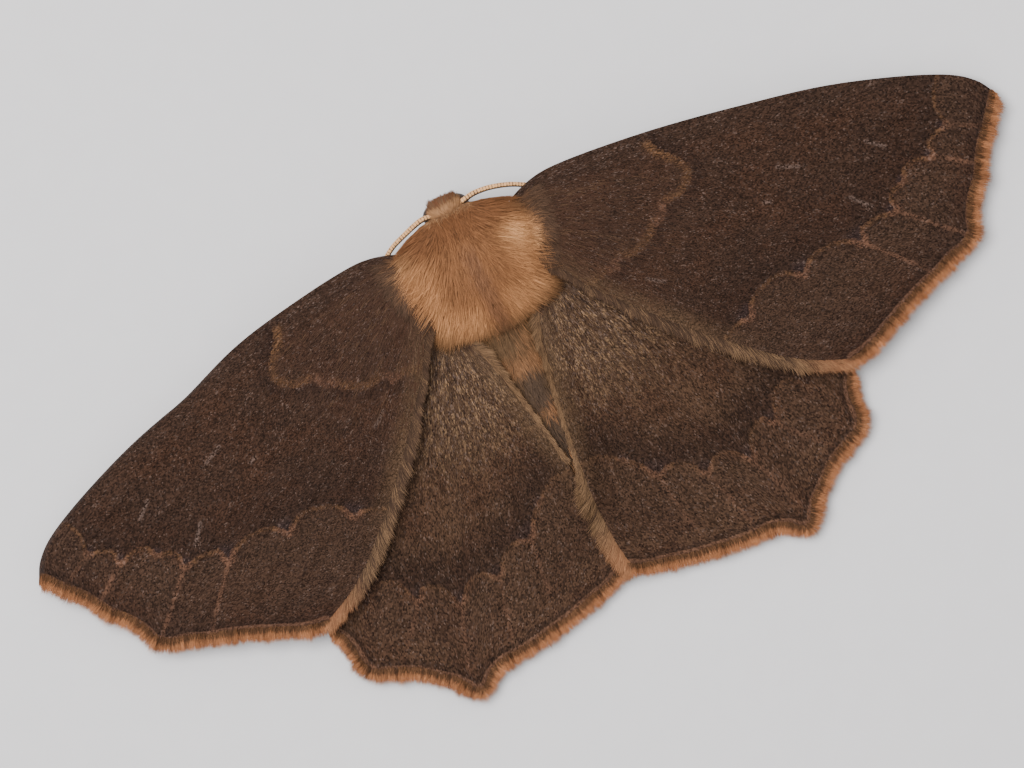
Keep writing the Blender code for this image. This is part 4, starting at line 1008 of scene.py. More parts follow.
def body_colour(points):
    """The body's markings, and a painted light over the middle of the thorax's rear, for its skin and its
    coat alike.
    """
    out, back, high = points[:, 0], points[:, 1], points[:, 2]
    side = np.abs(out)
    rim = np.hypot(out / 3.7, (back + 0.2) / np.where(back > 0.0, 2.7, 3.0))
    measures = {"out": out, "back": back, "side": side, "rim": rim}
    colour = marked(hair_tint("back"), THORAX_MARKS, measures)
    for patch in SHOULDER_PATCHES:
        colour = patched(colour, "cream", out, back, patch)
    # Painted light: the middle of the thorax's rear is made up to a quarter brighter, against the shade that
    # falls between its hairs
    rear_middle_painted_light = smoothstep(0.8, 1.6, back) * smoothstep(2.7, 2.3, back) * smoothstep(0.8, 0.3, side)
    colour = marked(colour * (1.0 + 0.25 * rear_middle_painted_light[:, None]), HEAD_MARKS, measures)
    rings = marked(hair_tint("olive"), ABDOMEN_MARKS, measures)
    rings = pick(rings, hair_tint("rear") * 0.7, smoothstep(9.2, 9.8, back))
    rings = patched(rings, "orange", out, back, ABDOMEN_PATCH)
    rings = pick(rings, hair_tint("rear") * 0.75, smoothstep(1.5, 1.1, high))
    return pick(colour, rings, smoothstep(2.1, 2.8, back) * smoothstep(2.1, 1.5, side))


def build_skin():
    """One closed skin for head, thorax and abdomen."""
    around, lengthwise = SKIN_GRID
    turns = np.arange(around) / around * math.tau
    share, angle = np.meshgrid(np.linspace(0.0, 1.0, lengthwise), turns, indexing="ij")
    points = body_point(share, angle).reshape(-1, 3)
    index = np.arange(around * lengthwise).reshape(lengthwise, around)
    following = np.roll(index, -1, axis=1)
    quads = np.stack([index[:-1], following[:-1], following[1:], index[1:]], axis=-1).reshape(-1, 4)
    poles = points[[0, -around]].copy()
    poles[:, 0] = 0.0
    front, rear = len(points), len(points) + 1
    caps = [np.stack([following[0], index[0], np.full(around, front)], axis=-1),
            np.stack([index[-1], following[-1], np.full(around, rear)], axis=-1)]
    points = np.vstack([points, poles])
    shade = np.column_stack([body_colour(points) * SKIN_SHADE, np.ones(len(points))])
    return new_piece("body_skin", points, quads, np.concatenate(caps), {"Coat": shade})


def skin_roots(rng, tufts_name, stretch, weight):
    """Random places on the skin between two places along it, evenly by area times a weight.

    Returns them with the skin's normals and with their places on the bake map.
    """
    count = setting(tufts_name)
    share = rng.uniform(share_at(stretch[0]), share_at(stretch[1]), count * 12)
    angle = rng.uniform(0.0, math.tau, count * 12)
    points = body_point(share, angle)
    wanted = np.linalg.norm(body_slope(share, angle, 0.002, 0.02), axis=1) * weight(points)
    chance = wanted / np.sum(wanted) * count * 1.02
    kept = np.flatnonzero(rng.random(len(chance)) < chance)[:count]
    share, angle = share[kept], angle[kept]
    return points[kept], unit(body_slope(share, angle)), np.column_stack([angle / math.tau, share])


def share_at(back):
    """The share of the skin's length that lies at a place along the body."""
    return float(np.interp(back, BODY[:, 0], np.linspace(0.0, 1.0, len(BODY))))


def combed(rng, comb, normal, places, size, amount):
    """The comb's way laid into the surface, then turned by a drifting angle and a little of its own."""
    direction = unit(comb - normal * np.sum(comb * normal, axis=1, keepdims=True))
    waves = np.zeros(len(places))
    for turn in rng.uniform(0, math.tau, 5):
        heading = np.array([math.cos(turn), math.sin(turn)])
        waves += np.sin(places[:, :2] @ heading / size * 6.0 + turn * 7.0)
    angle = amount * (0.35 * waves + 0.5 * rng.standard_normal(len(places)))
    side = np.cross(normal, direction)
    return unit(direction * np.cos(angle)[:, None] + side * np.sin(angle)[:, None])


def gathered(rng, lie, roots, size, amount):
    """Lies drawn together in clumps of a size; they still have to be made unit vectors."""
    return lie + amount * np.column_stack([clumped(roots[:, :2], size, rng), np.zeros(len(roots))])


def hair_widths(rng, low, high, count):
    return length_of("hair_width") * rng.uniform(low, high, count)


def build_thorax_coat(rng):
    """Long, loose hair: combed back over the thorax and out over the wings' roots.

    The collar's hair is rooted before the skin, over hairs that stand forward and carry it.
    """
    roots, normal, root_map = skin_roots(
        rng, "back_tufts", COAT_STRETCH,
        lambda p: 0.25 + smoothstep(2.2, 3.0, p[:, 2]) * smoothstep(-3.2, -1.8, p[:, 1]))
    count = len(roots)
    high = roots[:, 2].copy()
    front = smoothstep(-1.3, -2.4, roots[:, 1])
    upper = smoothstep(2.2, 2.9, high)
    under = (rng.random(count) < 0.3) & (front > 0.3)
    moved = np.where(under, 0.0, front * (0.35 + 0.65 * upper))
    aside = COLLAR_SPREAD * roots[:, 0] * moved
    roots = roots + np.column_stack([aside, -COLLAR_FORWARD * moved, 0.12 * moved])
    normal = unit(normal + np.array([0.0, 0.0, 2.4]) * (moved * upper)[:, None])
    out, back = roots[:, 0], roots[:, 1]
    side = np.abs(out)
    down = -0.1 - 0.35 * smoothstep(0.8, 2.0, back)
    comb = np.column_stack([out * (0.45 + 0.2 * front), 1.0 - 0.2 * side - 0.1 * front, down])
    comb[under] = np.column_stack([out * 0.7, np.full(count, -1.0), np.full(count, 0.15)])[under]
    lie = combed(rng, comb, normal, roots, 1.8, 0.42)
    level = np.where(under, 0.8, smoothstep(-0.6, 0.8, back) * 0.5 + 0.1)[:, None]
    lie = unit(lie * (1.0 - level) + unit(comb) * level)
    lie = unit(gathered(rng, lie, roots, 0.3, 0.2) + 0.1 * rng.standard_normal(lie.shape))
    length = length_of("back_hair") * (0.5 + 0.5 * smoothstep(0.6, 2.0, side)) * rng.uniform(0.4, 1.1, count)
    length *= 0.45 + 0.55 * smoothstep(2.5, 3.1, high)
    length *= 1.0 + 0.16 * smoothstep(0.9, 2.1, back)
    length *= 1.0 - 0.3 * front * smoothstep(1.4, 0.6, side) - 0.4 * front * smoothstep(1.4, 2.0, side)
    below = 0.8 - 0.4 * np.exp(-((side - 1.1) / 0.25) ** 2) - 0.3 * smoothstep(1.8, 2.3, side)
    length = np.where(under, below * rng.uniform(0.7, 1.1, count), length)
    stand = (0.3 + 0.1 * front + 0.08 * rng.standard_normal(count)) * (0.6 + 0.4 * upper)
    width = hair_widths(rng, 0.55, 1.2, count)
    colours = colours_along(rng, roots, lie, length, 0.7, 1.14, 0.2)
    above = high > 3.0 - 0.25 * smoothstep(1.5, 2.1, side) - 0.5 * front
    zones = {"coat_collar": above & (back < -0.7), "coat_back": above & (back >= -0.7), "coat_breast": ~above}
    pieces = []
    for label, chosen in zones.items():
        limit = under_wings if label == "coat_breast" else on_wings
        pieces += split_tufts(label, chosen, limit, roots=roots, normal=normal, lie=lie, length=length,
                              width=width, colours=colours, root_map=root_map, stand=stand)
    return pieces


def under_wings(points, share):
    """Keeps the hair of the breast under the wings and off the floor."""
    out, back = np.abs(points[:, 0]), points[:, 1]
    points = points.copy()
    roof = forewing_height(out, back) - UNDER_WINGS
    over = (out > 1.5) & (back > -3.0)
    points[:, 2] = np.where(over, np.minimum(points[:, 2], roof), points[:, 2])
    points[:, 2] = np.maximum(points[:, 2], BREAST_FLOOR)
    return points


def split_tufts(label, chosen, limit, **each):
    """Tufts of one zone, in as many pieces as keep each of them light. Each array has a row for each tuft."""
    places = np.flatnonzero(chosen)
    parts = max(1, math.ceil(len(places) / MOST_TUFTS))
    order = places[np.argsort(each["roots"][places, 0], kind="stable")]
    names = [label] if parts == 1 else [f"{label}_{number + 1}" for number in range(parts)]
    return [tufts(name, limit=limit, **{key: values[part] for key, values in each.items()})
            for name, part in zip(names, np.array_split(order, parts))]


def build_head_coat(rng):
    """A short tuft that sweeps forward over the face from between the feelers."""
    roots, normal, root_map = skin_roots(rng, "head_tufts", HEAD_STRETCH,
                                         lambda p: 0.5 + smoothstep(2.2, 2.8, p[:, 2]))
    from_eye = np.column_stack([np.abs(roots[:, 0]), roots[:, 1:]]) - EYE_CENTRE
    beside_eye = (np.abs(roots[:, 0]) > 0.5) & (np.abs(from_eye[:, 2]) < 0.42) & (roots[:, 1] > -3.6)
    clear = (np.linalg.norm(from_eye, axis=1) > EYE_RADIUS * 1.02) & ~beside_eye
    roots, normal, root_map = roots[clear], normal[clear], root_map[clear]
    out, back, high = roots.T
    count = len(roots)
    neck = smoothstep(-3.15, -2.85, back)
    comb = np.column_stack([out * 2.4, 1.6 * neck - 1.0, 0.2 * (high - 2.5)])
    lie = combed(rng, comb, normal, roots, 0.8, 0.25)
    lie = unit(gathered(rng, lie, roots, 0.28, 0.3))
    length = length_of("head_hair") * rng.uniform(0.6, 1.1, count)
    beside = smoothstep(0.15, 0.5, np.abs(out)) * smoothstep(2.3, 2.7, high)
    length *= 0.5 + 0.35 * smoothstep(1.5, 2.5, high) + 0.4 * beside
    width = hair_widths(rng, 0.6, 1.0, count)
    red = (rng.random(count) < 0.4) * smoothstep(-3.2, -3.4, back)
    colours = shades(rng, pick(body_colour(roots), hair_tint("fleck"), red * 0.85))
    stand = 0.36 + 0.1 * rng.standard_normal(count)
    return [tufts("coat_head", roots, normal, lie, length, width, colours, root_map, stand)]


def under_hindwings(points, share):
    """Keeps the abdomen's hair under the hindwings, where they cover it, and off the floor."""
    out, back = np.abs(points[:, 0]), points[:, 1]
    points = points.copy()
    covered = (out > hindwing_edge(back)) & (back > 1.5)
    roof = hindwing_height(out, back, "left") - 0.1
    points[:, 2] = np.where(covered, np.minimum(points[:, 2], roof), points[:, 2])
    points[:, 2] = np.maximum(points[:, 2], BELLY_FLOOR)
    points[:, 1] = np.minimum(back, ABDOMEN_END + BRUSH)
    return points


def build_abdomen_coat(rng):
    """Short hair down the abdomen, longer at its sides and in a brush at its end."""
    roots, normal, root_map = skin_roots(rng, "belly_tufts", BELLY_STRETCH, lambda p: np.ones(len(p)))
    out, back, _ = roots.T
    count = len(roots)
    comb = np.column_stack([out * 0.15, np.ones(count), np.zeros(count)])
    lie = combed(rng, comb, normal, roots, 1.2, 0.2)
    lie = unit(gathered(rng, lie, roots, 0.4, 0.6))
    front = smoothstep(4.2, 2.4, back)
    length = length_of("belly_hair") * (0.62 + 0.45 * front) * rng.uniform(0.7, 1.1, count)
    length *= 1.0 + 0.35 * smoothstep(9.6, 10.6, back)
    width = hair_widths(rng, 0.6, 1.1, count)
    stand = 0.18 + 0.1 * front + 0.05 * rng.standard_normal(count)
    colours = colours_along(rng, roots, lie, length, 0.72, 1.1, 0.16, 0.2)
    return [tufts("coat_abdomen", roots, normal, lie, length, width, colours, root_map, stand,
                  limit=under_hindwings)]


def drift(rng, place, waves=6, fastest=3.0):
    """A smooth random value from about -1 to 1 along a line of places."""
    value = np.zeros(len(place))
    for number in range(waves):
        pace = fastest * (number + 1) / waves
        value += math.sqrt(2.0 / waves) * np.sin(place * pace * math.tau + rng.uniform(0, math.tau))
    return value


def build_fringe(name, rng):
    """The margin's fringe of fine parallel hairs: short brown ones over longer ones with pale tips."""
    wing = Wing(name)
    count = FRINGE_COUNT[wing.kind]
    t = rng.uniform(0.0, 1.0, count)
    short = rng.random(count) < SHORT_FRINGE
    s = np.where(short, rng.uniform(*SHORT_ROOTS, count), rng.uniform(*FRINGE_ROOTS, count))
    points, outward, _, up = wing.frame_at(s, t)
    rim = np.ones(count)
    edge = unit(wing.points(rim, np.clip(t + 0.01, 0, 1)) - wing.points(rim, np.clip(t - 0.01, 0, 1)))
    outward = unit(outward - edge * np.sum(outward * edge, axis=1, keepdims=True))
    place = t * FRINGE_REACH[wing.kind]
    lean = 0.05 * drift(rng, place, 7, 2.4) + 0.13 * rng.standard_normal(count)
    lie = unit(outward + edge * lean[:, None] + up * 0.06 * rng.standard_normal((count, 1)))
    ragged = 0.92 + 0.05 * drift(rng, place, 9, 4.0)
    ragged += 0.17 * np.exp(-(np.min(np.abs(t[:, None] - wing.vein_ends), axis=1) / 0.018) ** 2)
    length = length_of("fringe") * np.where(short, rng.uniform(0.2, 0.6, count),
                                            ragged * (1.15 - 0.6 * rng.random(count) ** 1.3))
    rear_end = smoothstep(1.0, 0.97, t) if wing.kind == "forewing" else 1.0
    length *= 0.3 + 0.7 * smoothstep(0.0, 0.03, t) * rear_end
    mottle = smoothstep(-0.8, 1.2, drift(rng, place, 8, 1.6))[:, None]
    brown, tan = HAIR_GAIN * hair_tint("fringe_root"), HAIR_GAIN * hair_tint("fringe_tip")
    clump = drift(rng, place, 10, 7.0)[:, None]
    own = np.clip(0.92 + 0.2 * clump + 0.26 * rng.standard_normal((count, 1)), 0.4, 1.8)
    root = np.where(short[:, None], brown, 0.85 * brown + 0.15 * tan) * (0.8 + 0.3 * mottle) * own
    tip = np.where(short[:, None], brown, tan) * (0.88 + 0.2 * mottle) * own
    colour = np.stack([root, tip], axis=1)
    points[:, 2] += np.where(short, 0.03, 0.0) - 0.05 * rng.random(count)
    width = FRINGE_WIDTH * rng.uniform(0.6, 1.4, count)
    root_map = np.column_stack([s, t])
    return tufts(f"{name}_fringe", points, up, lie, length, width, np.clip(colour, 0, 1), root_map, 0.04, 1)


def wing_hairs(name, label, s, t, lean, length, width, colour, rng, stand, levels=2):
    """Hairs rooted on a wing; lean is how far each turns from the way to the margin, in radians."""
    points, outward, inward, up = Wing(name).frame_at(s, t)
    inward = unit(inward - outward * np.sum(inward * outward, axis=1, keepdims=True))
    lie = unit(outward * np.cos(lean)[:, None] + inward * np.sin(lean)[:, None])
    colours = shades(rng, colour, 0.75, 1.2, 0.25, levels)
    root_map = np.column_stack([s, t])
    return tufts(f"{name}_{label}", points, up, lie, length, width, colours, root_map, stand, levels)


def build_hem(name, rng):
    """Long tan hairs along the inner margin, lying tailward past its edge."""
    wing = Wing(name)
    count = INNER_COUNT[wing.kind]
    s = rng.uniform(0.01, 0.58 if name == "hindwing_left" else 0.995, count)
    if name == "hindwing_left":
        s = np.where(rng.random(count) < 0.1, rng.uniform(0.88, 0.995, count), s)
    depth = rng.random(count) ** 1.6
    place = s * FRINGE_REACH[wing.kind]
    wave = drift(rng, place, 8, 1.5)
    length = length_of("hem") * rng.uniform(0.7, 1.2, count) * (1.0 + 0.04 * wave)
    if wing.kind == "forewing":
        t = 1.0 - depth * 0.012
        lean = np.radians(40.0 + 2.0 * wave)
        length *= 0.45 + 0.4 * smoothstep(0.15, 0.5, s) - 0.1 * smoothstep(0.85, 1.0, s)
        length *= 1.0 + 1.1 * smoothstep(0.16, 0.02, s)
        tan = 0.3 + 0.45 * smoothstep(0.35, 0.85, s)
    else:
        t = 1.0 - depth * 0.01
        near_body = smoothstep(0.4, 0.15, s)
        past_tail = smoothstep(0.55, 0.72, s) * smoothstep(1.15, 0.9, s)
        lean = np.radians(6.0 + 3.0 * wave + (44.0 if wing.side == "right" else 24.0) * past_tail)
        length *= 0.42 + 0.55 * past_tail + 0.45 * near_body
        lean += np.radians(14.0) * near_body
        tan = 0.92
    lean += 0.16 * rng.standard_normal(count)
    pale = np.clip(rng.random(count) + 0.1 * wave, 0, 1)
    colour = pick(hair_tint("hair_dark"), hair_tint("hair"), smoothstep(1.0 - tan, 1.35 - tan, pale))
    colour = pick(colour, hair_tint("fringe_tip") * 0.8, smoothstep(0.8, 1.0, s) * 0.5)
    width = HEM_WIDTH * rng.uniform(0.7, 1.3, count)
    return wing_hairs(name, "hem", s, t, lean, length, width, colour, rng, 0.08)


def build_base_hairs(name, rng):
    """Fine hair that lies flat over the wing's base and thins out towards its middle."""
    look = BASE_HAIR[name.split("_")[0]]
    count = look["count"]
    reach, crowding = look["across"]
    t = 1.0 - reach * rng.random(count) ** crowding
    start, reach, crowding = look["along"]
    s = start + reach * rng.random(count) ** crowding
    lean = np.radians(look["lean"]) + look["stray"] * rng.standard_normal(count)
    length = rng.uniform(0.22, 0.6, count)
    pale = rng.random(count)
    streak = smoothstep(-0.6, 1.4, drift(rng, t * 14.0, 9, 1.8))
    share = smoothstep(0.45, 1.0, pale * 0.75 + streak * 0.25) * smoothstep(0.8, 0.1, s)
    ground, shade = look["ground"]
    colour = pick(tint(ground) * shade, hair_tint("hair"), share * look["pale"])
    width = BASE_WIDTH * rng.uniform(0.7, 1.3, count)
    return wing_hairs(name, "base_hair", s, t, lean, length, width, colour, rng, 0.03, 1)


def build_shoulder(name, rng):
    """Loose hair of the thorax's colours, darkened as painted shade, over a wing's root, so that body and
    wing run together.
    """
    wing = Wing(name)
    count = SHOULDER_COUNT[wing.kind]
    t = 1.0 - 0.92 * rng.random(count) ** 1.15
    s = 0.004 + 0.1 * rng.random(count) ** 1.8
    points = wing.points(s, t)
    turn = 50.0 if wing.kind == "forewing" else 12.0
    lean = np.radians(8.0 + turn * t) + 0.28 * rng.standard_normal(count)
    length = rng.uniform(0.4, 1.05, count) * (1.0 - 4.0 * s)
    # Painted shade: the thorax's colours darkened to the shade its coat casts among its own hairs, since
    # these lie flat in the light
    tan = body_colour(points) * 0.85
    browner = smoothstep(0.0, 0.8, rng.random(count) * 0.7 + s * 9.0 - 0.2)
    colour = pick(tan, hair_tint("hair_dark") * 1.3, browner)
    width = SHOULDER_WIDTH * rng.uniform(0.6, 1.2, count)
    return wing_hairs(name, "shoulder", s, t, lean, length, width, colour, rng, 0.14)


def tube(name, route, radii, sides=12):
    """A round curve through the route, with its ends closed, as a mesh at its own place."""
    curve = bpy.data.curves.new(name, "CURVE")
    curve.dimensions = "3D"
    curve.bevel_depth = MM
    curve.bevel_resolution = sides // 4
    curve.use_fill_caps = True
    line = curve.splines.new("POLY")
    line.points.add(len(route) - 1)
    for point, place, radius in zip(line.points, placed(route), radii):
        point.co = (*place, 1.0)
        point.radius = radius
    select_only(added(name, curve))
    bpy.ops.object.convert(target="MESH")
    piece = bpy.context.active_object
    bpy.ops.object.mode_set(mode="EDIT")
    bpy.ops.mesh.select_all(action="SELECT")
    bpy.ops.mesh.remove_doubles(threshold=MM * 1e-4)
    bpy.ops.mesh.normals_make_consistent(inside=False)
    bpy.ops.object.mode_set(mode="OBJECT")
    bpy.ops.object.shade_smooth_by_angle(angle=math.radians(50))
    return piece


def select_only(*pieces):
    bpy.ops.object.select_all(action="DESELECT")
    for piece in pieces:
        piece.select_set(True)
    bpy.context.view_layer.objects.active = pieces[0]


def joined(pieces, name):
    select_only(*pieces)
    if len(pieces) > 1:
        bpy.ops.object.join()
    piece = bpy.context.active_object
    piece.name = name
    piece.data.name = name
    return piece


def mark_rings(piece, values):
    """Gives each point of a tube, ring by ring, the value that its stripes are drawn by."""
    made = piece.data.attributes.new("Ring", "FLOAT", "POINT")
    made.data.foreach_set("value", np.asarray(values, np.float32))


def nearest_share(piece, route):
    """How far along a route each point of a piece lies, from 0 to 1, and its offset from the line."""
    points = np.zeros(len(piece.data.vertices) * 3)
    piece.data.vertices.foreach_get("co", points)
    points = points.reshape(-1, 3) / MM
    points[:, 1] += THORAX_FORWARD
    gaps = np.linalg.norm(points[:, None] - route[None], axis=-1)
    nearest = np.argmin(gaps, axis=1)
    return nearest / (len(route) - 1), points - route[nearest]


def build_feeler(side):
    """A bare, ringed feeler that curves back under the wing's front edge."""
    steps = ANTENNA_RINGS * 3
    share = np.linspace(0, 1, steps + 1)
    route = along(spline(mirrored(ANTENNA_ROUTES[side], side), 12), share)
    radii = ANTENNA_RADIUS + (ANTENNA_TIP_RADIUS - ANTENNA_RADIUS) * share
    radii = radii * np.where(np.arange(steps + 1) % 3 == 0, 0.97, 1.0)
    radii[:6] *= np.array([1.2, 1.45, 1.5, 1.3, 1.1, 1.0])
    radii[-1] *= 0.4
    piece = tube(f"feeler_{side}", route, radii)
    place, offset = nearest_share(piece, route)
    ringed = np.round(place * steps).astype(int) % 3 == 0
    # Painted shade: the underside and rear side of each feeler, turned from the light, take the rings' dark
    # colour
    lit_side = (offset[:, 2] > -0.03) & (offset[:, 1] < 0.06)
    mark_rings(piece, np.where(ringed, 0.42, 0.7) * np.where(lit_side, 1.0, 0.4))
    return piece


def build_palp(side):
    """A short, scaled palp that turns up in front of the face."""
    curve = spline(mirrored(PALP_ROUTE, side), 8)
    radii = np.interp(np.linspace(0, 1, len(curve)), np.linspace(0, 1, len(PALP_RADII)), PALP_RADII)
    piece = tube(f"palp_{side}_scaled", curve, radii, 16)
    mark_rings(piece, np.full(len(piece.data.vertices), 0.4))
    return piece


def build_eye(side):
    """A rounded eye, a little taller than it is wide."""
    centre = placed(mirrored(EYE_CENTRE, side))
    bpy.ops.object.select_all(action="DESELECT")
    bpy.ops.mesh.primitive_uv_sphere_add(segments=64, ring_count=40, radius=EYE_RADIUS * MM, location=centre)
    piece = bpy.context.active_object
    piece.name = f"eye_ball_{side}"
    bpy.ops.object.mode_set(mode="EDIT")
    bpy.ops.mesh.select_all(action="SELECT")
    bpy.ops.transform.resize(value=EYE_SHAPE)
    bpy.ops.object.mode_set(mode="OBJECT")
    bpy.ops.object.transform_apply(location=True, rotation=True, scale=True)
    bpy.ops.object.shade_smooth()
    return piece


def leg_route(name):
    """The leg's joints, down to the middle of the foot's tip on the floor."""
    kind, side = name.split("_")
    *joints, toe = LEGS[name]
    joints = np.array([*LEG_ROOTS[kind], *joints], float)
    toe = np.array([*toe, TARSUS_RADIUS])
    ankle = joints[-1]
    landing = np.array([*(ankle[:2] + unit(toe[:2] - ankle[:2]) * 0.9), TARSUS_RADIUS + 0.04])
    return list(mirrored([*joints, landing, toe], side))


def build_leg(name):
    """A scaled leg of coxa, femur, spurred tibia and a foot of five joints with two claws."""
    hip, trochanter, knee, ankle, landing, toe = leg_route(name)
    pieces = []

    def limb(label, curve, radii, rings):
        piece = tube(f"{name}_{label}", curve, radii)
        ring = (nearest_share(piece, curve)[0] * (len(curve) - 1)).round().astype(int)
        mark_rings(piece, np.broadcast_to(rings, len(curve))[ring])
        pieces.append(piece)

    def straight(label, start, end, radii, rings, arch=0.0):
        share = np.linspace(0, 1, LIMB_STEPS)
        curve = start + (end - start) * share[:, None]
        curve[:, 2] += arch * np.sin(share * math.pi)
        limb(label, curve, np.interp(share, np.linspace(0, 1, len(radii)), radii), rings)

    straight("coxa", hip, trochanter, (0.12, 0.34, 0.3, 0.2), 0.3)
    straight("femur", trochanter, knee, (0.16, 0.27, 0.3, 0.24, 0.17), 0.35, 0.05)
    pale_end = np.where(np.arange(LIMB_STEPS) > LIMB_STEPS - 3, 0.9, 0.3)
    straight("tibia", knee, ankle, (0.17, 0.19, 0.16, 0.15, 0.17), pale_end)
    foot = np.vstack([ankle + (landing - ankle) * np.linspace(0, 1, 9)[:-1, None],
                      landing + (toe - landing) * np.linspace(0, 1, 22)[:, None]])
    share = shares_of(foot)
    joint = (share * TARSUS_JOINTS) % 1.0
    radii = TARSUS_RADIUS * (1.0 - 0.3 * share) * (0.78 + 0.3 * smoothstep(0.0, 0.7, joint))
    radii[-1] *= 0.6
    foot[:, 2] = np.maximum(foot[:, 2], radii)
    limb("foot", foot, radii, np.where(joint > 0.72, 0.9, 0.25))
    heading = unit(toe - landing)
    beside = unit(np.cross(heading, (0, 0, 1.0)))
    for turn in (-1, 1):
        claw = np.array([toe, toe + heading * 0.12 + beside * turn * 0.06 + (0, 0, 0.03),
                         toe + heading * 0.2 + beside * turn * 0.12 - (0, 0, 0.05)])
        claw = spline(claw, 5)
        limb(f"claw{turn}", claw, np.linspace(0.04, 0.008, len(claw)), 0.0)
    shin = unit(ankle - knee)
    across = unit(np.cross(shin, (0, 0, 1.0)))
    for place in SPUR_PLACES[name.split("_")[0]]:
        for turn, reach in ((-1, 0.85), (1, 0.6)):
            start = knee + (ankle - knee) * place
            spur = spline([start, start + (shin * 0.5 + across * turn * 0.3) * reach,
                           start + (shin + across * turn * 0.45) * reach], 4)
            spur[:, 2] = np.maximum(spur[:, 2], 0.1)
            limb(f"spur{place}{turn}", spur, np.linspace(0.07, 0.015, len(spur)), 0.5)
    return joined(pieces, f"{name}_scaled")


def build_leg_tufts(name, rng):
    """Flat scales that break the outline of the thigh and shin."""
    trochanter, knee, ankle = leg_route(name)[1:4]
    count = LEG_TUFTS
    upper = (rng.random(count) < 0.55)[:, None]
    share = rng.random(count)[:, None]
    start = np.where(upper, trochanter, knee)
    end = np.where(upper, knee, ankle)
    heading = unit(end - start)
    beside = unit(np.cross(heading, (0, 0, 1.0)))
    above = np.cross(beside, heading)
    turn = rng.uniform(0, math.tau, count)[:, None]
    normal = unit(beside * np.cos(turn) + above * np.sin(turn))
    radius = np.where(upper, 0.25, 0.15)
    roots = start + (end - start) * share + normal * radius * 0.85
    roots[:, 2] = np.maximum(roots[:, 2], 0.12)
    spread = rng.standard_normal((count, 3)) * 0.12
    length = rng.uniform(0.22, 0.42, count) * np.where(upper[:, 0], 1.25, 1.0)
    colours = shades(rng, pick(hair_tint("leg"), hair_tint("leg_pale"), (rng.random(count) > 0.72) * 0.8))
    root_map = np.column_stack([turn[:, 0] / math.tau, (share[:, 0] + upper[:, 0]) / 2.0])

    def off_floor(points, share):
        return np.column_stack([points[:, :2], np.maximum(points[:, 2], TUFT_FLOOR)])

    width = 0.07 * rng.uniform(0.7, 1.3, count)
    lie = unit(heading + spread)
    return tufts(f"{name}_tufts", roots, normal, lie, length, width, colours, root_map, 0.16, limit=off_floor)


class LOOPER_OT_wings(bpy.types.Operator):
    """Build the four scaled wings"""
    bl_idname = "looper.wings"
    bl_label = "Wings"

    def execute(self, context):
        finishes = {kind: wing_material(kind) for kind in WINGS}
        for name in WING_NAMES:
            kind = name.split("_")[0]
            finish_piece(build_wing(name), finishes[kind], (name,))
        return {"FINISHED"}


class LOOPER_OT_fringes(bpy.types.Operator):
    """Build the fringes and the hair of the wings"""
    bl_idname = "looper.fringes"
    bl_label = "Fringes and wing hair"

    def execute(self, context):
        rng = np.random.default_rng(SEED)
        finish = coat_material("Wing hair")
        for name in WING_NAMES:
            for maker in (build_fringe, build_hem, build_base_hairs):
                finish_piece(maker(name, rng), finish)
            finish_piece(build_shoulder(name, rng), finish)
        return {"FINISHED"}


class LOOPER_OT_body(bpy.types.Operator):
    """Build the skin of head, thorax and abdomen"""
    bl_idname = "looper.body"
    bl_label = "Body"

    def execute(self, context):
        skin = coat_material("Skin", 0.7)
        finish_piece(build_skin(), skin, ("thorax", "head", "abdomen"))
        return {"FINISHED"}


class LOOPER_OT_coat(bpy.types.Operator):
    """Clothe the body in hair"""
    bl_idname = "looper.coat"
    bl_label = "Coat"

    def execute(self, context):
        rng = np.random.default_rng(SEED + 1)
        hair = coat_material("Body hair")
        for piece in build_thorax_coat(rng):
            finish_piece(piece, hair)
        for piece in build_head_coat(rng):
            finish_piece(piece, hair)
        for piece in build_abdomen_coat(rng):
            finish_piece(piece, hair)
        return {"FINISHED"}


class LOOPER_OT_face(bpy.types.Operator):
    """Build the eyes, feelers and palps"""
    bl_idname = "looper.face"
    bl_label = "Eyes, feelers and palps"

    def execute(self, context):
        feeler = limb_material("Feeler scales", "feeler", "feeler_dark", 0.02)
        palp = limb_material("Palp scales", "leg_pale", "leg", 0.03)
        gloss = eye_material()
        for side in SIDES:
            finish_piece(build_eye(side), gloss, (f"eye_{side}",))
            finish_piece(build_feeler(side), feeler, (f"antenna_{side}",))
            finish_piece(build_palp(side), palp, (f"palp_{side}",))
        return {"FINISHED"}


class LOOPER_OT_legs(bpy.types.Operator):
    """Build the six legs"""
    bl_idname = "looper.legs"
    bl_label = "Legs"

    def execute(self, context):
        rng = np.random.default_rng(SEED + 2)
        scaled = limb_material("Leg scales", "leg_pale", "leg", 0.03)
        tufted = coat_material("Leg tufts")
        for name in LEGS:
            finish_piece(build_leg(name), scaled, (name,))
            finish_piece(build_leg_tufts(name, rng), tufted)
        return {"FINISHED"}


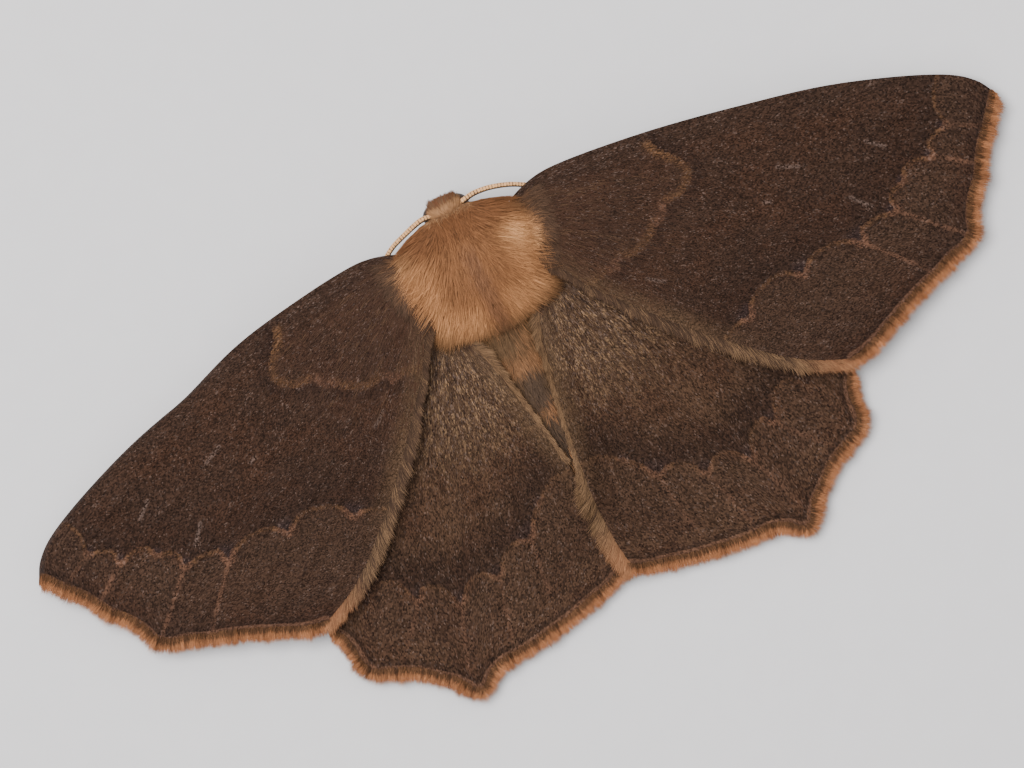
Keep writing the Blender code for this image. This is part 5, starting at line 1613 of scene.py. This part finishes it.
class LOOPER_OT_stage(bpy.types.Operator):
    """Set the floor, the soft light and the camera straight above"""
    bl_idname = "looper.stage"
    bl_label = "Stage"

    def execute(self, context):
        settings = context.scene.moth_stage
        bpy.ops.object.select_all(action="DESELECT")
        bpy.ops.mesh.primitive_grid_add(x_subdivisions=8, y_subdivisions=8, size=FLOOR_SIZE)
        floor = context.active_object
        floor.name = "floor"
        graph = Finish("Plain floor", 0.9, 0.15)
        pale = np.array(settings.floor)
        worn = graph.mask(graph.noise(graph.place(), 700.0, 4.0), 0.35, 0.7)
        floor.data.materials.append(graph.done(graph.mix(worn, pale * 0.985, pale)))

        world = context.scene.world or bpy.data.worlds.new("Studio")
        context.scene.world = world
        world.use_nodes = True
        background = Graph(world.node_tree)
        sky = background.node("ShaderNodeBackground", {"Color": (1.0, 1.0, 1.0), "Strength": SKY_STRENGTH})
        background.node("ShaderNodeOutputWorld", {0: sky.outputs[0]})

        lamp = bpy.data.lights.new("Soft light", "AREA")
        lamp.shape = "DISK"
        lamp.size = LAMP_SIZE
        lamp.energy = settings.light
        light = added("soft_light", lamp)
        light.location = LAMP_PLACE
        light.rotation_mode = "QUATERNION"
        light.rotation_quaternion = light.location.to_track_quat("Z", "Y")

        height = settings.camera_height
        lens = bpy.data.cameras.new("Camera")
        lens.sensor_width = SENSOR_WIDTH
        lens.lens = lens.sensor_width * height / (PHOTO_WIDTH * MM)
        lens.clip_start = height * 0.02
        lens.clip_end = height * 20
        camera = added("camera", lens)
        middle = placed(np.array([*PHOTO_MIDDLE, 0.0]))
        up = Vector((*PHOTO_UP, 0.0)).normalized()
        right = up.cross(Vector((0, 0, 1.0)))
        turn = Matrix((right, up, Vector((0, 0, 1.0)))).transposed().to_4x4()
        camera.matrix_world = Matrix.Translation((middle[0], middle[1], height)) @ turn
        context.scene.camera = camera
        return {"FINISHED"}


class LOOPER_PT_panel(bpy.types.Panel):
    """The steps of the looper moth, in order"""
    bl_idname = "LOOPER_PT_panel"
    bl_label = "Looper moth"
    bl_space_type = "VIEW_3D"
    bl_region_type = "UI"
    bl_category = "Moth"

    def draw(self, context):
        for step in STEPS:
            self.layout.operator(step.bl_idname)


STEPS = (LOOPER_OT_stage, LOOPER_OT_body, LOOPER_OT_wings, LOOPER_OT_fringes, LOOPER_OT_face, LOOPER_OT_legs,
         LOOPER_OT_coat)
SETTINGS = {"moth_wings": MothWingSettings, "moth_coat": MothCoatSettings, "moth_limbs": MothLimbSettings,
            "moth_stage": MothStageSettings}


def register():
    for group in SETTINGS.values():
        bpy.utils.register_class(group)
    for name, group in SETTINGS.items():
        setattr(bpy.types.Scene, name, PointerProperty(type=group))
    for step in (*STEPS, LOOPER_PT_panel):
        bpy.utils.register_class(step)


def unregister():
    for step in (LOOPER_PT_panel, *reversed(STEPS)):
        bpy.utils.unregister_class(step)
    for name, group in SETTINGS.items():
        delattr(bpy.types.Scene, name)
        bpy.utils.unregister_class(group)


def main():
    register()
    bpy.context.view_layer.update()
    bpy.ops.object.select_all(action="DESELECT")
    for step in ("stage", "body", "wings", "fringes", "face", "legs", "coat"):
        getattr(bpy.ops.looper, step)()


if __name__ == "__main__":
    main()
